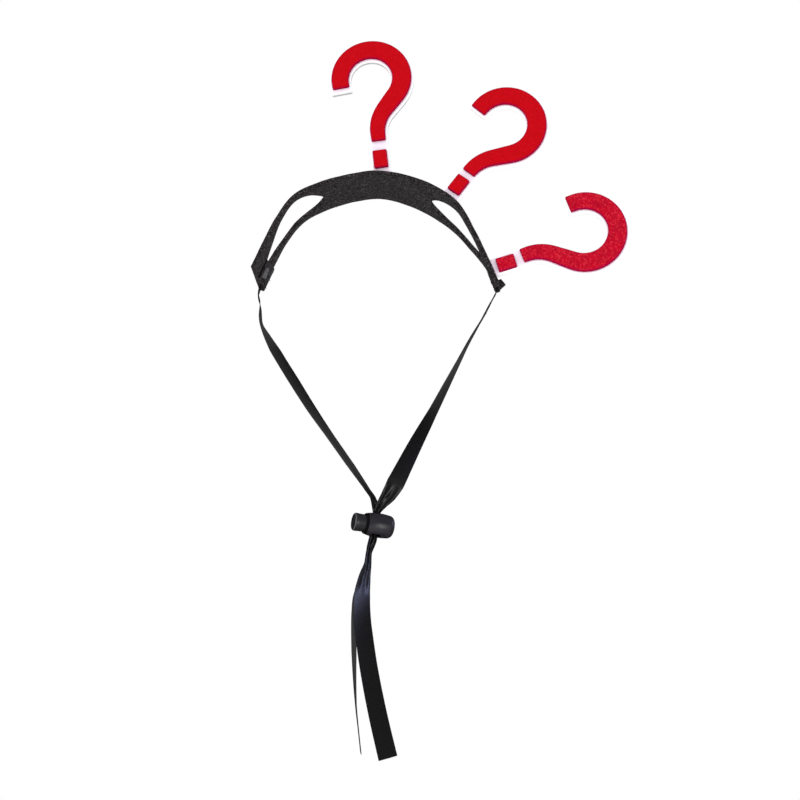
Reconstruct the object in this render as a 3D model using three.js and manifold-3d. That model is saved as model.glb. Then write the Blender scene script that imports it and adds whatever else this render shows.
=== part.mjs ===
// Pet costume headband: an arched felt band with two ear slots, upright foam question marks,
// and two ribbon straps that meet in a spring cord lock under the chin.
// Millimetres, +Z up. The origin is the middle of the band's underside, where it sits on the head.
// -Y is the front, and the straps hang down to the lock.
import * as THREE from "three";
import { mergeVertices } from "three/addons/utils/BufferGeometryUtils.js";
import Module from "manifold-3d";

const wasm = await Module();
wasm.setup();

// Sizes of the band
const BAND_WIDTH = 36;
const BAND_REACH = 65;
const BAND_DROP = 62;
const FELT = 2.2;
const CLEAR = 0.3;

// The strap's end is sewn between two layers of felt at each end of the band
const LAYER = 1;
const POCKET_PAST = 1.02;
const TAB_LENGTH = 5;
const TAB_LIFT_DEG = 44;
const TAB_FELT = 2;

// Sizes of the question marks
const HOOK_RADIUS = 16.9;
const HOOK_HEIGHT = 50.4;
const HOOK_TURN_DEG = -42;
const STEM_BEND_RADIUS = 20;
const STEM_OFFSET = 0.4;
const STEM_FOOT = 15.8;
const STEM_WIDTH = 7.6;
const DOT_TOP = 11.7;
const FOOT_BORDER = 1.4;
const DOT_CORNER = 0.7;
const BORDER = 0.9;
const FOAM = 4.4;
const RED_LAYER = 2;
const MARK_SETBACK = 0.4;
const FOOT_SPARE = 3;

// Sizes of the straps
const STRAP_WIDTH = 10;
const STRAP = 1;
const STRAP_FOLDED = 4.6;
const FREE_END_LEFT = 114;
const FREE_END_RIGHT = 118.5;

// Sizes of the cord lock
const LOCK_DROP = 188.8;
const LOCK_SIDE = 0.2;
const LOCK_FORWARD = -2;
const LOCK_TURN_DEG = 23;
const LOCK_TILT_DEG = 4;
const LOCK_LENGTH = 15.5;
const LOCK_RADIUS = 6.4;
const LOCK_RIM = 0.5;
const LOCK_ROUND = 1.4;
const BUTTON_RADIUS = 4.6;
const BUTTON_CAP = 0.2;
const BUTTON_ROUND = 0.8;
const BUTTON_OUT = 6.1;
const BUTTON_TRAVEL = 3;
const BUTTON_END_WALL = 1.4;
const CHANNEL_OFFSET = -1.5;
const CHANNEL_CORNER = 0.6;

// The band from its left end to its right end, 1 at each end of the arch.
// X is a share of the reach, Z of the drop and Y of half the width, for the front and the rear edge.
const BAND_SECTIONS = [
  { along: -1, frontX: -1, frontY: -1, frontZ: -0.836, rearX: -1, rearY: 1, rearZ: -0.83 },
  { along: -0.83, frontX: -0.905, frontY: -1, frontZ: -0.613, rearX: -0.905, rearY: 1, rearZ: -0.61 },
  { along: -0.67, frontX: -0.8, frontY: -1, frontZ: -0.392, rearX: -0.8, rearY: 1, rearZ: -0.392 },
  { along: -0.5, frontX: -0.665, frontY: -1, frontZ: -0.197, rearX: -0.657, rearY: 1, rearZ: -0.203 },
  { along: -0.33, frontX: -0.458, frontY: -1, frontZ: -0.089, rearX: -0.454, rearY: 1, rearZ: -0.087 },
  { along: -0.17, frontX: -0.232, frontY: -1, frontZ: -0.029, rearX: -0.23, rearY: 1, rearZ: -0.02 },
  { along: 0, frontX: 0, frontY: -1, frontZ: 0, rearX: 0, rearY: 1, rearZ: 0 },
  { along: 0.17, frontX: 0.242, frontY: -1, frontZ: -0.047, rearX: 0.225, rearY: 1, rearZ: -0.071 },
  { along: 0.33, frontX: 0.469, frontY: -1, frontZ: -0.147, rearX: 0.432, rearY: 1, rearZ: -0.19 },
  { along: 0.5, frontX: 0.662, frontY: -1, frontZ: -0.306, rearX: 0.612, rearY: 0.92, rearZ: -0.348 },
  { along: 0.67, frontX: 0.783, frontY: -0.95, frontZ: -0.53, rearX: 0.757, rearY: 0.71, rearZ: -0.545 },
  { along: 0.83, frontX: 0.886, frontY: -0.82, frontZ: -0.766, rearX: 0.889, rearY: 0.52, rearZ: -0.752 },
  { along: 1, frontX: 0.981, frontY: -0.67, frontZ: -1.004, rearX: 0.975, rearY: 0.39, rearZ: -0.982 },
];

// The ear slots, front and rear side as shares of the width, from one end of each slot to the other
const EAR_SLOTS = {
  left: [
    { along: -0.86, front: 0.59, rear: 0.62 },
    { along: -0.8, front: 0.48, rear: 0.69 },
    { along: -0.7, front: 0.34, rear: 0.765 },
    { along: -0.6, front: 0.2, rear: 0.83 },
    { along: -0.5, front: 0.17, rear: 0.85 },
    { along: -0.42, front: 0.23, rear: 0.8 },
    { along: -0.37, front: 0.32, rear: 0.72 },
    { along: -0.34, front: 0.41, rear: 0.63 },
    { along: -0.325, front: 0.5, rear: 0.56 },
  ],
  right: [
    { along: 0.325, front: 0.5, rear: 0.58 },
    { along: 0.34, front: 0.42, rear: 0.65 },
    { along: 0.37, front: 0.35, rear: 0.73 },
    { along: 0.43, front: 0.3, rear: 0.78 },
    { along: 0.51, front: 0.26, rear: 0.81 },
    { along: 0.58, front: 0.29, rear: 0.82 },
    { along: 0.65, front: 0.37, rear: 0.78 },
    { along: 0.71, front: 0.44, rear: 0.73 },
    { along: 0.76, front: 0.57, rear: 0.64 },
  ],
};

// Where each strap is sewn in: the doubled felt, the pocket in it and the strap's middle
const STRAP_SEATS = {
  left: { end: -1, lapFrom: -0.87, pocketFrom: -0.9, lapFront: 0.62, middle: 0.81 },
  right: { end: 1, lapFrom: 0.86, pocketFrom: 0.89, lapFront: 0.34, middle: 0.67 },
};

// The question marks: place along the band, lean in degrees, height as a share, where the hook's
// open end lies on its circle in degrees, and the dot's own turn
const QUESTION_MARKS = [
  { name: "top", along: 0.033, lean: -5.5, tall: 1.06, hookEnd: 192, dotTurn: 0 },
  { name: "shoulder", along: 0.437, lean: 37, tall: 0.955, hookEnd: 184, dotTurn: 0 },
  { name: "side", along: 0.904, lean: 69.8, tall: 1.015, hookEnd: 186, dotTurn: 4 },
];

// The stroke's width along the hook, from its open end to the stem
const STROKE_WIDTHS = [
  { along: 0, width: 9 },
  { along: 0.22, width: 9.7 },
  { along: 0.5, width: 10.3 },
  { along: 0.7, width: 10 },
  { along: 0.85, width: 8.7 },
  { along: 1, width: STEM_WIDTH },
];

// Each strap from the band's end to the lock: shares of the way down and across, the shift to the
// rear as a share of the strap's width, the turn of the strap's face, its breadth and its layers
const UPPER_RUNS = {
  left: [
    { down: 0.035, across: 0.005, rear: 1.08, turn: 0, breadth: 1, layers: 1 },
    { down: 0.1, across: 0.015, rear: 1.0, turn: -4, breadth: 1, layers: 1 },
    { down: 0.155, across: 0.025, rear: 0.92, turn: 0, breadth: 1, layers: 1 },
    { down: 0.21, across: 0.065, rear: 0.86, turn: 14, breadth: 1, layers: 1 },
    { down: 0.29, across: 0.138, rear: 0.8, turn: 33, breadth: 1, layers: 1 },
    { down: 0.42, across: 0.292, rear: 0.7, turn: 35, breadth: 1, layers: 1 },
    { down: 0.56, across: 0.463, rear: 0.6, turn: 32, breadth: 1, layers: 1 },
    { down: 0.67, across: 0.609, rear: 0.5, turn: 27, breadth: 0.98, layers: 1 },
    { down: 0.8, across: 0.792, rear: 0.4, turn: 22, breadth: 0.92, layers: 1.1 },
    { down: 0.9, across: 0.925, rear: 0.3, turn: 20, breadth: 0.7, layers: 1.4 },
  ],
  right: [
    { down: 0.04, across: 0.03, rear: 0.0, turn: -2, breadth: 1, layers: 1 },
    { down: 0.1, across: 0.085, rear: -0.1, turn: -6, breadth: 1, layers: 1 },
    { down: 0.156, across: 0.14, rear: -0.15, turn: -9, breadth: 1, layers: 1 },
    { down: 0.25, across: 0.238, rear: -0.2, turn: -5, breadth: 1, layers: 1 },
    { down: 0.352, across: 0.335, rear: -0.2, turn: 1, breadth: 1, layers: 1 },
    { down: 0.46, across: 0.438, rear: -0.2, turn: 7, breadth: 1, layers: 1 },
    { down: 0.565, across: 0.536, rear: -0.2, turn: 11, breadth: 1, layers: 1 },
    { down: 0.7, across: 0.672, rear: -0.1, turn: 24, breadth: 1, layers: 1 },
    { down: 0.84, across: 0.818, rear: -0.05, turn: 36, breadth: 1, layers: 1 },
    { down: 0.915, across: 0.9, rear: 0, turn: 42, breadth: 0.92, layers: 1.2 },
  ],
};

// Each free end below the lock: share of the way down, the shifts to the side and to the rear as
// shares of the strap's width, the turn of its face, its breadth and its layers
const LOWER_RUNS = {
  left: [
    { down: 0.06, side: -0.22, rear: 0.38, turn: 24, breadth: 0.46, layers: 1.8 },
    { down: 0.13, side: -0.46, rear: 0.55, turn: 16, breadth: 0.62, layers: 1.4 },
    { down: 0.19, side: -0.72, rear: 0.66, turn: 10, breadth: 0.84, layers: 1.1 },
    { down: 0.26, side: -0.96, rear: 0.7, turn: 4, breadth: 0.98, layers: 1 },
    { down: 0.36, side: -1.1, rear: 0.7, turn: 6, breadth: 1, layers: 1 },
    { down: 0.54, side: -1.1, rear: 0.7, turn: 9, breadth: 1, layers: 1 },
    { down: 0.77, side: -1.0, rear: 0.7, turn: 1, breadth: 1, layers: 1 },
    { down: 0.9, side: -0.85, rear: 0.7, turn: -1, breadth: 1, layers: 1 },
    { down: 1, side: -0.73, rear: 0.7, turn: -2, breadth: 1, layers: 1 },
  ],
  right: [
    { down: 0.06, side: -0.28, rear: -0.1, turn: 26, breadth: 0.46, layers: 1.8 },
    { down: 0.13, side: -0.42, rear: -0.18, turn: 32, breadth: 0.56, layers: 1.6 },
    { down: 0.19, side: -0.52, rear: -0.28, turn: 42, breadth: 0.68, layers: 1.4 },
    { down: 0.265, side: -0.6, rear: -0.35, turn: 48, breadth: 0.85, layers: 1.2 },
    { down: 0.37, side: -0.64, rear: -0.4, turn: 54, breadth: 0.95, layers: 1 },
    { down: 0.47, side: -0.54, rear: -0.4, turn: 58, breadth: 1, layers: 1 },
    { down: 0.6, side: -0.34, rear: -0.4, turn: 60, breadth: 1, layers: 1 },
    { down: 0.8, side: 0.1, rear: -0.4, turn: 68, breadth: 1, layers: 1 },
    { down: 1, side: 0.6, rear: -0.4, turn: 78, breadth: 1, layers: 1 },
  ],
};

const FINISHES = {
  felt: new THREE.MeshStandardMaterial({ color: 0x262424, roughness: 0.95, metalness: 0 }),
  foam: new THREE.MeshStandardMaterial({ color: 0xf4f2f0, roughness: 0.7, metalness: 0 }),
  red: new THREE.MeshStandardMaterial({ color: 0xc60618, roughness: 0.75, metalness: 0 }),
  ribbon: new THREE.MeshStandardMaterial({ color: 0x17161a, roughness: 0.4, metalness: 0 }),
  plastic: new THREE.MeshStandardMaterial({ color: 0x242327, roughness: 0.45, metalness: 0 }),
};

const radians = THREE.MathUtils.degToRad;
const vec = (x, y, z) => new THREE.Vector3(x, y, z);

// Reading a table between its rows: a smooth curve through them, straight on past both ends
function readTable(rows, along, key = "along") {
  const last = rows.length - 1;
  const slope = (i, column) => {
    const a = rows[Math.max(i - 1, 0)];
    const b = rows[Math.min(i + 1, last)];
    return (b[column] - a[column]) / (b[key] - a[key]);
  };
  const result = {};
  const span = rows.findIndex((row) => row[key] > along);
  const i = span < 0 ? last : span - 1;
  for (const column of Object.keys(rows[0])) {
    if (i < 0 || i === last) {
      const edge = i < 0 ? 0 : last;
      result[column] = rows[edge][column] + slope(edge, column) * (along - rows[edge][key]);
      continue;
    }
    const width = rows[i + 1][key] - rows[i][key];
    const t = (along - rows[i][key]) / width;
    result[column] =
      rows[i][column] * (1 + 2 * t) * (1 - t) ** 2 +
      rows[i + 1][column] * (3 - 2 * t) * t ** 2 +
      slope(i, column) * width * t * (1 - t) ** 2 +
      slope(i + 1, column) * width * t ** 2 * (t - 1);
  }
  return result;
}

// Evenly spaced numbers from one value to another, both included
function steps(from, to, count) {
  return Array.from({ length: count + 1 }, (_, i) => from + ((to - from) * i) / count);
}

// Closed meshes and boolean cuts
function toSolid(geometry) {
  const bare = geometry.clone();
  bare.deleteAttribute("normal");
  bare.deleteAttribute("uv");
  const merged = mergeVertices(bare, 1e-4);
  const kept = [];
  for (let i = 0; i < merged.index.count; i += 3) {
    const [a, b, c] = [0, 1, 2].map((k) => merged.index.getX(i + k));
    if (a !== b && b !== c && c !== a) {
      kept.push(a, b, c);
    }
  }
  const mesh = new wasm.Mesh({
    numProp: 3,
    vertProperties: new Float32Array(merged.attributes.position.array),
    triVerts: new Uint32Array(kept),
  });
  return new wasm.Manifold(mesh);
}

function toGeometry(solid) {
  const { vertProperties, triVerts } = solid.getMesh();
  const geometry = new THREE.BufferGeometry();
  geometry.setAttribute("position", new THREE.BufferAttribute(new Float32Array(vertProperties), 3));
  geometry.setIndex(new THREE.BufferAttribute(new Uint32Array(triVerts), 1));
  geometry.computeVertexNormals();
  return geometry;
}

// A solid lofted through rings that each have the same number of corners
function loft(rings) {
  const corners = rings[0].length;
  const points = rings.flat();
  const faces = [];
  for (let r = 0; r + 1 < rings.length; r += 1) {
    for (let c = 0; c < corners; c += 1) {
      const a = r * corners + c;
      const b = r * corners + ((c + 1) % corners);
      faces.push([a, b, a + corners], [b, b + corners, a + corners]);
    }
  }
  const end = (rings.length - 1) * corners;
  for (let c = 1; c + 1 < corners; c += 1) {
    faces.push([0, c + 1, c], [end, end + c, end + c + 1]);
  }
  const volume = faces.reduce((sum, [a, b, c]) => {
    return sum + points[a].dot(points[b].clone().cross(points[c]));
  }, 0);
  const facing = volume > 0 ? faces : faces.map(([a, b, c]) => [a, c, b]);
  const geometry = new THREE.BufferGeometry().setFromPoints(points);
  geometry.setIndex(facing.flat());
  geometry.computeVertexNormals();
  return geometry;
}

// The band's surface: a point at a share of the width, raised outwards from the felt's middle
function bandPoint(along, share, raised) {
  const edge = (side) => {
    const at = (a) => {
      const row = readTable(BAND_SECTIONS, a);
      return vec(
        row[`${side}X`] * BAND_REACH,
        (row[`${side}Y`] * BAND_WIDTH) / 2,
        FELT / 2 + row[`${side}Z`] * BAND_DROP,
      );
    };
    const step = 0.01;
    const tangent = at(along + step).sub(at(along - step));
    const outward = vec(-tangent.z, 0, tangent.x).normalize();
    return at(along).addScaledVector(outward, raised);
  };
  return edge("front").lerp(edge("rear"), share);
}

function bandRing(along, front, rear, low, high) {
  return [
    bandPoint(along, front, low),
    bandPoint(along, front, high),
    bandPoint(along, rear, high),
    bandPoint(along, rear, low),
  ];
}

const widthAt = (along) => bandPoint(along, 0, 0).distanceTo(bandPoint(along, 1, 0));

// How deep the strap's middle lies in the doubled end, whose outside is flush with the band
const POCKET_HALF = STRAP / 2 + CLEAR;
const STRAP_DEPTH = FELT / 2 - LAYER - POCKET_HALF;
const LAP_INSIDE = STRAP_DEPTH - POCKET_HALF - LAYER;

// The pocket that holds a strap's sewn end, open at the band's end
function pocketRings(seat) {
  return steps(seat.pocketFrom, seat.end * POCKET_PAST, 4).map((along) => {
    const half = (STRAP_WIDTH / 2 + CLEAR) / widthAt(along);
    const [low, high] = [STRAP_DEPTH - POCKET_HALF, STRAP_DEPTH + POCKET_HALF];
    return bandRing(along, seat.middle - half, seat.middle + half, low, high);
  });
}


function buildBand() {
  const panel = loft(steps(-1, 1, 48).map((a) => bandRing(a, 0, 1, -FELT / 2, FELT / 2)));
  let band = toSolid(panel);
  for (const seat of Object.values(STRAP_SEATS)) {
    const lap = loft(
      steps(seat.lapFrom, seat.end, 5).map((a) => bandRing(a, seat.lapFront, 1, LAP_INSIDE, FELT / 2)),
    );
    band = band.add(toSolid(lap));
  }
  band = band.add(toSolid(foldedTab(STRAP_SEATS.right)));
  for (const rows of Object.values(EAR_SLOTS)) {
    const first = rows[0].along;
    const last = rows[rows.length - 1].along;
    const cutter = loft(
      steps(first, last, 22).map((a) => {
        const { front, rear } = readTable(rows, a);
        return bandRing(a, front, rear, -FELT, FELT);
      }),
    );
    band = band.subtract(toSolid(cutter));
  }
  for (const seat of Object.values(STRAP_SEATS)) {
    band = band.subtract(toSolid(loft(pocketRings(seat))));
  }
  return toGeometry(band);
}

// The end of the felt folded outwards, beside the strap
function foldedTab(seat) {
  const lift = radians(TAB_LIFT_DEG);
  const out = vec(Math.cos(lift), 0, Math.sin(lift));
  const up = vec(-out.z, 0, out.x);
  const rings = [seat.middle - 0.1, 1].map((share) => {
    const root = bandPoint(seat.end, share, (FELT - TAB_FELT) / 2).addScaledVector(out, -TAB_FELT / 2);
    const tip = root.clone().addScaledVector(out, TAB_LENGTH + TAB_FELT / 2);
    return [
      root.clone(),
      tip.clone(),
      tip.clone().addScaledVector(up, TAB_FELT),
      root.clone().addScaledVector(up, TAB_FELT),
    ];
  });
  return loft(rings);
}

// The question mark's centre line in its own plane: hook, straight, bend and stem
function hookLine(tall, hookEnd) {
  const centreY = HOOK_HEIGHT * tall;
  const turn = radians(HOOK_TURN_DEG);
  const points = steps(radians(hookEnd), turn, 26).map(
    (a) => new THREE.Vector2(HOOK_RADIUS * Math.cos(a), centreY + HOOK_RADIUS * Math.sin(a)),
  );
  const heading = new THREE.Vector2(Math.sin(turn), -Math.cos(turn));
  const start = points[points.length - 1];
  const bendAcross = STEM_BEND_RADIUS * (1 - Math.cos(turn));
  const straight = (start.x - STEM_OFFSET - bendAcross) / -heading.x;
  const bendStart = start.clone().addScaledVector(heading, straight);
  const centre = new THREE.Vector2(STEM_OFFSET + STEM_BEND_RADIUS, bendStart.y + STEM_BEND_RADIUS * Math.sin(turn));
  for (const a of steps(Math.PI + turn, Math.PI, 6)) {
    const mirrored = 2 * Math.PI - a;
    points.push(
      new THREE.Vector2(
        centre.x + STEM_BEND_RADIUS * Math.cos(mirrored),
        centre.y - STEM_BEND_RADIUS * Math.sin(mirrored),
      ),
    );
  }
  const foot = STEM_FOOT * tall;
  const kept = points.filter((point) => point.y > foot + 1);
  kept.push(new THREE.Vector2(STEM_OFFSET, foot));
  return kept;
}

// A stroke's outline: the centre line widened to both sides, with its ends moved out
function strokeShape(line, halfWidth, startGrow, endGrow) {
  const lengths = [0];
  for (let i = 1; i < line.length; i += 1) {
    lengths.push(lengths[i - 1] + line[i].distanceTo(line[i - 1]));
  }
  const total = lengths[lengths.length - 1];
  const left = [];
  const right = [];
  line.forEach((point, i) => {
    const before = line[Math.max(i - 1, 0)];
    const after = line[Math.min(i + 1, line.length - 1)];
    const heading = after.clone().sub(before).normalize();
    const side = new THREE.Vector2(-heading.y, heading.x);
    const moved = point.clone();
    if (i === 0) {
      moved.addScaledVector(heading, -startGrow);
    }
    if (i === line.length - 1) {
      moved.addScaledVector(heading, endGrow);
    }
    const half = halfWidth(lengths[i] / total);
    left.push(moved.clone().addScaledVector(side, half));
    right.push(moved.clone().addScaledVector(side, -half));
  });
  return new THREE.Shape([...left, ...right.reverse()]);
}

const strokeHalf = (along) => readTable(STROKE_WIDTHS, along).width / 2;

// A flat piece cut from sheet: its outline stands in XZ and its thickness runs back from the front
function sheetPiece(shape, thickness, front) {
  const geometry = new THREE.ExtrudeGeometry(shape, { depth: thickness, bevelEnabled: false });
  geometry.rotateX(Math.PI / 2);
  geometry.translate(0, front + thickness, 0);
  return geometry;
}

function roundedRectangle(width, height, corner) {
  const shape = new THREE.Shape();
  const [x, y] = [width / 2, height / 2];
  shape.moveTo(x, y - corner);
  shape.absarc(x - corner, y - corner, corner, 0, Math.PI / 2);
  shape.absarc(corner - x, y - corner, corner, Math.PI / 2, Math.PI);
  shape.absarc(corner - x, corner - y, corner, Math.PI, 1.5 * Math.PI);
  shape.absarc(x - corner, corner - y, corner, 1.5 * Math.PI, 2 * Math.PI);
  return shape;
}

function addMark(parent, mark) {
  const frontEdge = bandPoint(mark.along, 0, FELT / 2);
  const front = frontEdge.y + MARK_SETBACK;
  const share = (front + RED_LAYER + CLEAR + FOAM / 2 - frontEdge.y) / widthAt(mark.along);
  const foot = bandPoint(mark.along, share, FELT / 2);
  const place = new THREE.Group();
  place.position.set(foot.x, 0, foot.z);
  place.rotation.y = radians(mark.lean);
  place.updateMatrix();
  parent.add(place);

  const line = hookLine(mark.tall, mark.hookEnd);
  const hook = sheetPiece(strokeShape(line, strokeHalf, 0, 0), RED_LAYER, front);
  addMesh(place, `question_${mark.name}_hook`, hook, FINISHES.red);

  const dotHeight = DOT_TOP - FOOT_BORDER - CLEAR;
  const dotShape = roundedRectangle(STEM_WIDTH, dotHeight, DOT_CORNER);
  const dot = sheetPiece(dotShape, RED_LAYER, front);
  const dotMesh = addMesh(place, `question_${mark.name}_dot`, dot, FINISHES.red);
  dotMesh.position.set(STEM_OFFSET / 2, 0, DOT_TOP - dotHeight / 2);
  dotMesh.rotation.y = radians(mark.dotTurn);

  const baseLine = [...line, new THREE.Vector2(STEM_OFFSET / 2, -FOOT_SPARE)];
  const stemShare = 1 - (STEM_FOOT * mark.tall + FOOT_SPARE) / lineLength(baseLine);
  const baseHalf = (along) => strokeHalf(Math.min(along / stemShare, 1)) + BORDER;
  const base = sheetPiece(strokeShape(baseLine, baseHalf, BORDER, 0), FOAM, front + RED_LAYER + CLEAR);
  const seat = loft(steps(-1, 1.04, 50).map((a) => bandRing(a, 0, 1, -FOOT_SPARE * 2, FELT / 2 + CLEAR)));
  seat.applyMatrix4(place.matrix.clone().invert());
  const seated = toGeometry(toSolid(base).subtract(toSolid(seat)));
  addMesh(place, `question_${mark.name}_base`, seated, FINISHES.foam);
}

function lineLength(line) {
  return line.slice(1).reduce((sum, point, i) => sum + point.distanceTo(line[i]), 0);
}

// The cord lock's frame: the button's end faces -X, the straps run through it along Z
const lockPlace = new THREE.Group();
lockPlace.position.set(LOCK_SIDE, -LOCK_FORWARD, -LOCK_DROP);
lockPlace.rotation.set(0, radians(LOCK_TILT_DEG), radians(LOCK_TURN_DEG), "ZYX");
lockPlace.updateMatrix();

const CHANNEL_LONG = STRAP_FOLDED + 2 * CLEAR;
const CHANNEL_DEEP = 4 * STRAP + 3 * CLEAR + CLEAR;
const STRAP_SHIFT = STRAP + CLEAR / 2;

// A strap as sections: middle, direction of its width, direction of its thickness, both sizes
function strapRoute(side) {
  const seat = STRAP_SEATS[side];
  const behind = side === "left" ? 1 : -1;
  const rows = steps(seat.pocketFrom + 0.006 * seat.end, seat.end, 3).map((along) => {
    return { point: bandPoint(along, seat.middle, STRAP_DEPTH), turn: 0, breadth: 1, layers: 1 };
  });
  const inLock = (z) => vec(CHANNEL_OFFSET, behind * STRAP_SHIFT, z).applyMatrix4(lockPlace.matrix);
  const folded = { turn: 90 - LOCK_TURN_DEG, breadth: STRAP_FOLDED / STRAP_WIDTH, layers: 2 };
  const start = bandPoint(seat.end, seat.middle, STRAP_DEPTH);
  const mouth = inLock(LOCK_RADIUS + STRAP);
  const exit = inLock(-LOCK_RADIUS - STRAP);
  for (const row of UPPER_RUNS[side]) {
    const point = vec(
      start.x + (mouth.x - start.x) * row.across,
      row.rear * STRAP_WIDTH,
      start.z + (mouth.z - start.z) * row.down,
    );
    rows.push({ point, turn: row.turn, breadth: row.breadth, layers: row.layers });
  }
  for (const share of [1, 0.5, -0.5, -1]) {
    rows.push({ point: inLock(share * (LOCK_RADIUS + STRAP)), ...folded });
  }
  const length = side === "left" ? FREE_END_LEFT : FREE_END_RIGHT;
  for (const row of LOWER_RUNS[side]) {
    const point = vec(exit.x + row.side * STRAP_WIDTH, row.rear * STRAP_WIDTH, exit.z - row.down * length);
    rows.push({ point, turn: row.turn, breadth: row.breadth, layers: row.layers });
  }
  return rows;
}

function buildStrap(side) {
  const rows = strapRoute(side);
  const curve = new THREE.CatmullRomCurve3(rows.map((row) => row.point));
  const perSpan = 2;
  const count = (rows.length - 1) * perSpan;
  const across = vec(0, 1, 0);
  const rings = steps(0, 1, count).map((u) => {
    const place = Math.min(u * (rows.length - 1), rows.length - 1 - 1e-9);
    const i = Math.floor(place);
    const mix = (column) => THREE.MathUtils.lerp(rows[i][column], rows[i + 1][column], place - i);
    const along = curve.getTangent(u);
    const sideways = along.clone().cross(across).normalize();
    const level = sideways.clone().cross(along).normalize();
    const turn = radians(mix("turn"));
    const wide = level.multiplyScalar(Math.cos(turn)).addScaledVector(sideways, Math.sin(turn));
    const thick = along.clone().cross(wide).normalize();
    const halfWide = wide.multiplyScalar((STRAP_WIDTH * mix("breadth")) / 2);
    const halfThick = thick.multiplyScalar((STRAP * mix("layers")) / 2);
    const middle = curve.getPoint(u);
    const corner = (a, b) => middle.clone().addScaledVector(halfWide, a).addScaledVector(halfThick, b);
    return [corner(-1, -1), corner(1, -1), corner(1, 1), corner(-1, 1)];
  });
  return loft(rings);
}

// A round piece turned about the X axis from a profile of [x, radius]
function turned(profile, segments) {
  const points = profile.map(([x, radius]) => new THREE.Vector2(radius, x));
  const geometry = new THREE.LatheGeometry(points, segments);
  geometry.rotateZ(-Math.PI / 2);
  const solid = toSolid(geometry);
  if (solid.volume() > 0) {
    return solid;
  }
  return toSolid(flipped(geometry));
}

function flipped(geometry) {
  const copy = geometry.clone();
  const index = Array.from(copy.index.array);
  for (let i = 0; i < index.length; i += 3) {
    [index[i + 1], index[i + 2]] = [index[i + 2], index[i + 1]];
  }
  copy.setIndex(index);
  return copy;
}

// A channel along Z through the lock
function channel(from, to, depth, corner) {
  const shape = roundedRectangle(to - from, depth, corner);
  const height = 4 * LOCK_RADIUS;
  const geometry = new THREE.ExtrudeGeometry(shape, { depth: height, bevelEnabled: false, curveSegments: 3 });
  geometry.translate((from + to) / 2, 0, -height / 2);
  return toSolid(geometry);
}

const SLOT_START = CHANNEL_OFFSET - CHANNEL_LONG / 2 - BUTTON_TRAVEL;
const SLOT_END = CHANNEL_OFFSET + CHANNEL_LONG / 2;
const BUTTON_INNER_END = SLOT_END + BUTTON_END_WALL;

function buildLockBody() {
  const end = LOCK_LENGTH / 2;
  const rim = LOCK_RADIUS - LOCK_RIM;
  const barrel = turned(
    [
      [-end, 0],
      [-end, rim - LOCK_RIM],
      [-end + LOCK_RIM, rim],
      [-end / 2, LOCK_RADIUS - LOCK_RIM / 3],
      [0, LOCK_RADIUS],
      [end / 2, LOCK_RADIUS - LOCK_RIM / 6],
      [end - LOCK_ROUND, rim],
      [end - LOCK_ROUND * 0.3, rim - LOCK_ROUND * 0.3],
      [end, rim - LOCK_ROUND],
      [end, 0],
    ],
    32,
  );
  const boreEnd = BUTTON_INNER_END + BUTTON_TRAVEL + CLEAR;
  const bore = turned(
    [
      [-end - 1, 0],
      [-end - 1, BUTTON_RADIUS + CLEAR],
      [boreEnd, BUTTON_RADIUS + CLEAR],
      [boreEnd, 0],
    ],
    32,
  );
  const hole = channel(CHANNEL_OFFSET - CHANNEL_LONG / 2, SLOT_END, CHANNEL_DEEP, CHANNEL_CORNER);
  return toGeometry(barrel.subtract(bore).subtract(hole));
}

function buildLockButton() {
  const outer = -LOCK_LENGTH / 2 - BUTTON_OUT;
  const cap = BUTTON_RADIUS + BUTTON_CAP;
  const plunger = turned(
    [
      [outer, 0],
      [outer, cap - BUTTON_ROUND],
      [outer + BUTTON_ROUND / 3, cap - BUTTON_ROUND / 3],
      [outer + BUTTON_ROUND, cap],
      [outer + BUTTON_OUT - BUTTON_TRAVEL - CLEAR, BUTTON_RADIUS],
      [BUTTON_INNER_END, BUTTON_RADIUS],
      [BUTTON_INNER_END, 0],
    ],
    32,
  );
  return toGeometry(plunger.subtract(channel(SLOT_START, SLOT_END, CHANNEL_DEEP, CHANNEL_CORNER)));
}

function addMesh(parent, name, geometry, finish) {
  const mesh = new THREE.Mesh(geometry, finish);
  mesh.name = name;
  parent.add(mesh);
  return mesh;
}

const headband = new THREE.Group();
addMesh(headband, "band", buildBand(), FINISHES.felt);
for (const mark of QUESTION_MARKS) {
  addMark(headband, mark);
}
for (const side of Object.keys(STRAP_SEATS)) {
  addMesh(headband, `strap_${side}`, buildStrap(side), FINISHES.ribbon);
}
headband.add(lockPlace);
addMesh(lockPlace, "lock_body", buildLockBody(), FINISHES.plastic);
addMesh(lockPlace, "lock_button", buildLockButton(), FINISHES.plastic);

export default headband;
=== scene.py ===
# %% [markdown]
# # A pet costume headband in Blender
# An arched strip of black felt sits on a small pet's head, with two slots for the ears.
# Three question marks, red felt on white foam, stand along its front edge.
# Two satin ribbons hang from its ends and meet in a spring cord lock under the chin.
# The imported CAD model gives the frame: every piece here is made around it, in the same place.

# %% Load the frame
import math

import bmesh
import bpy
from mathutils import Matrix, Vector, noise
from mathutils.bvhtree import BVHTree


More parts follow.
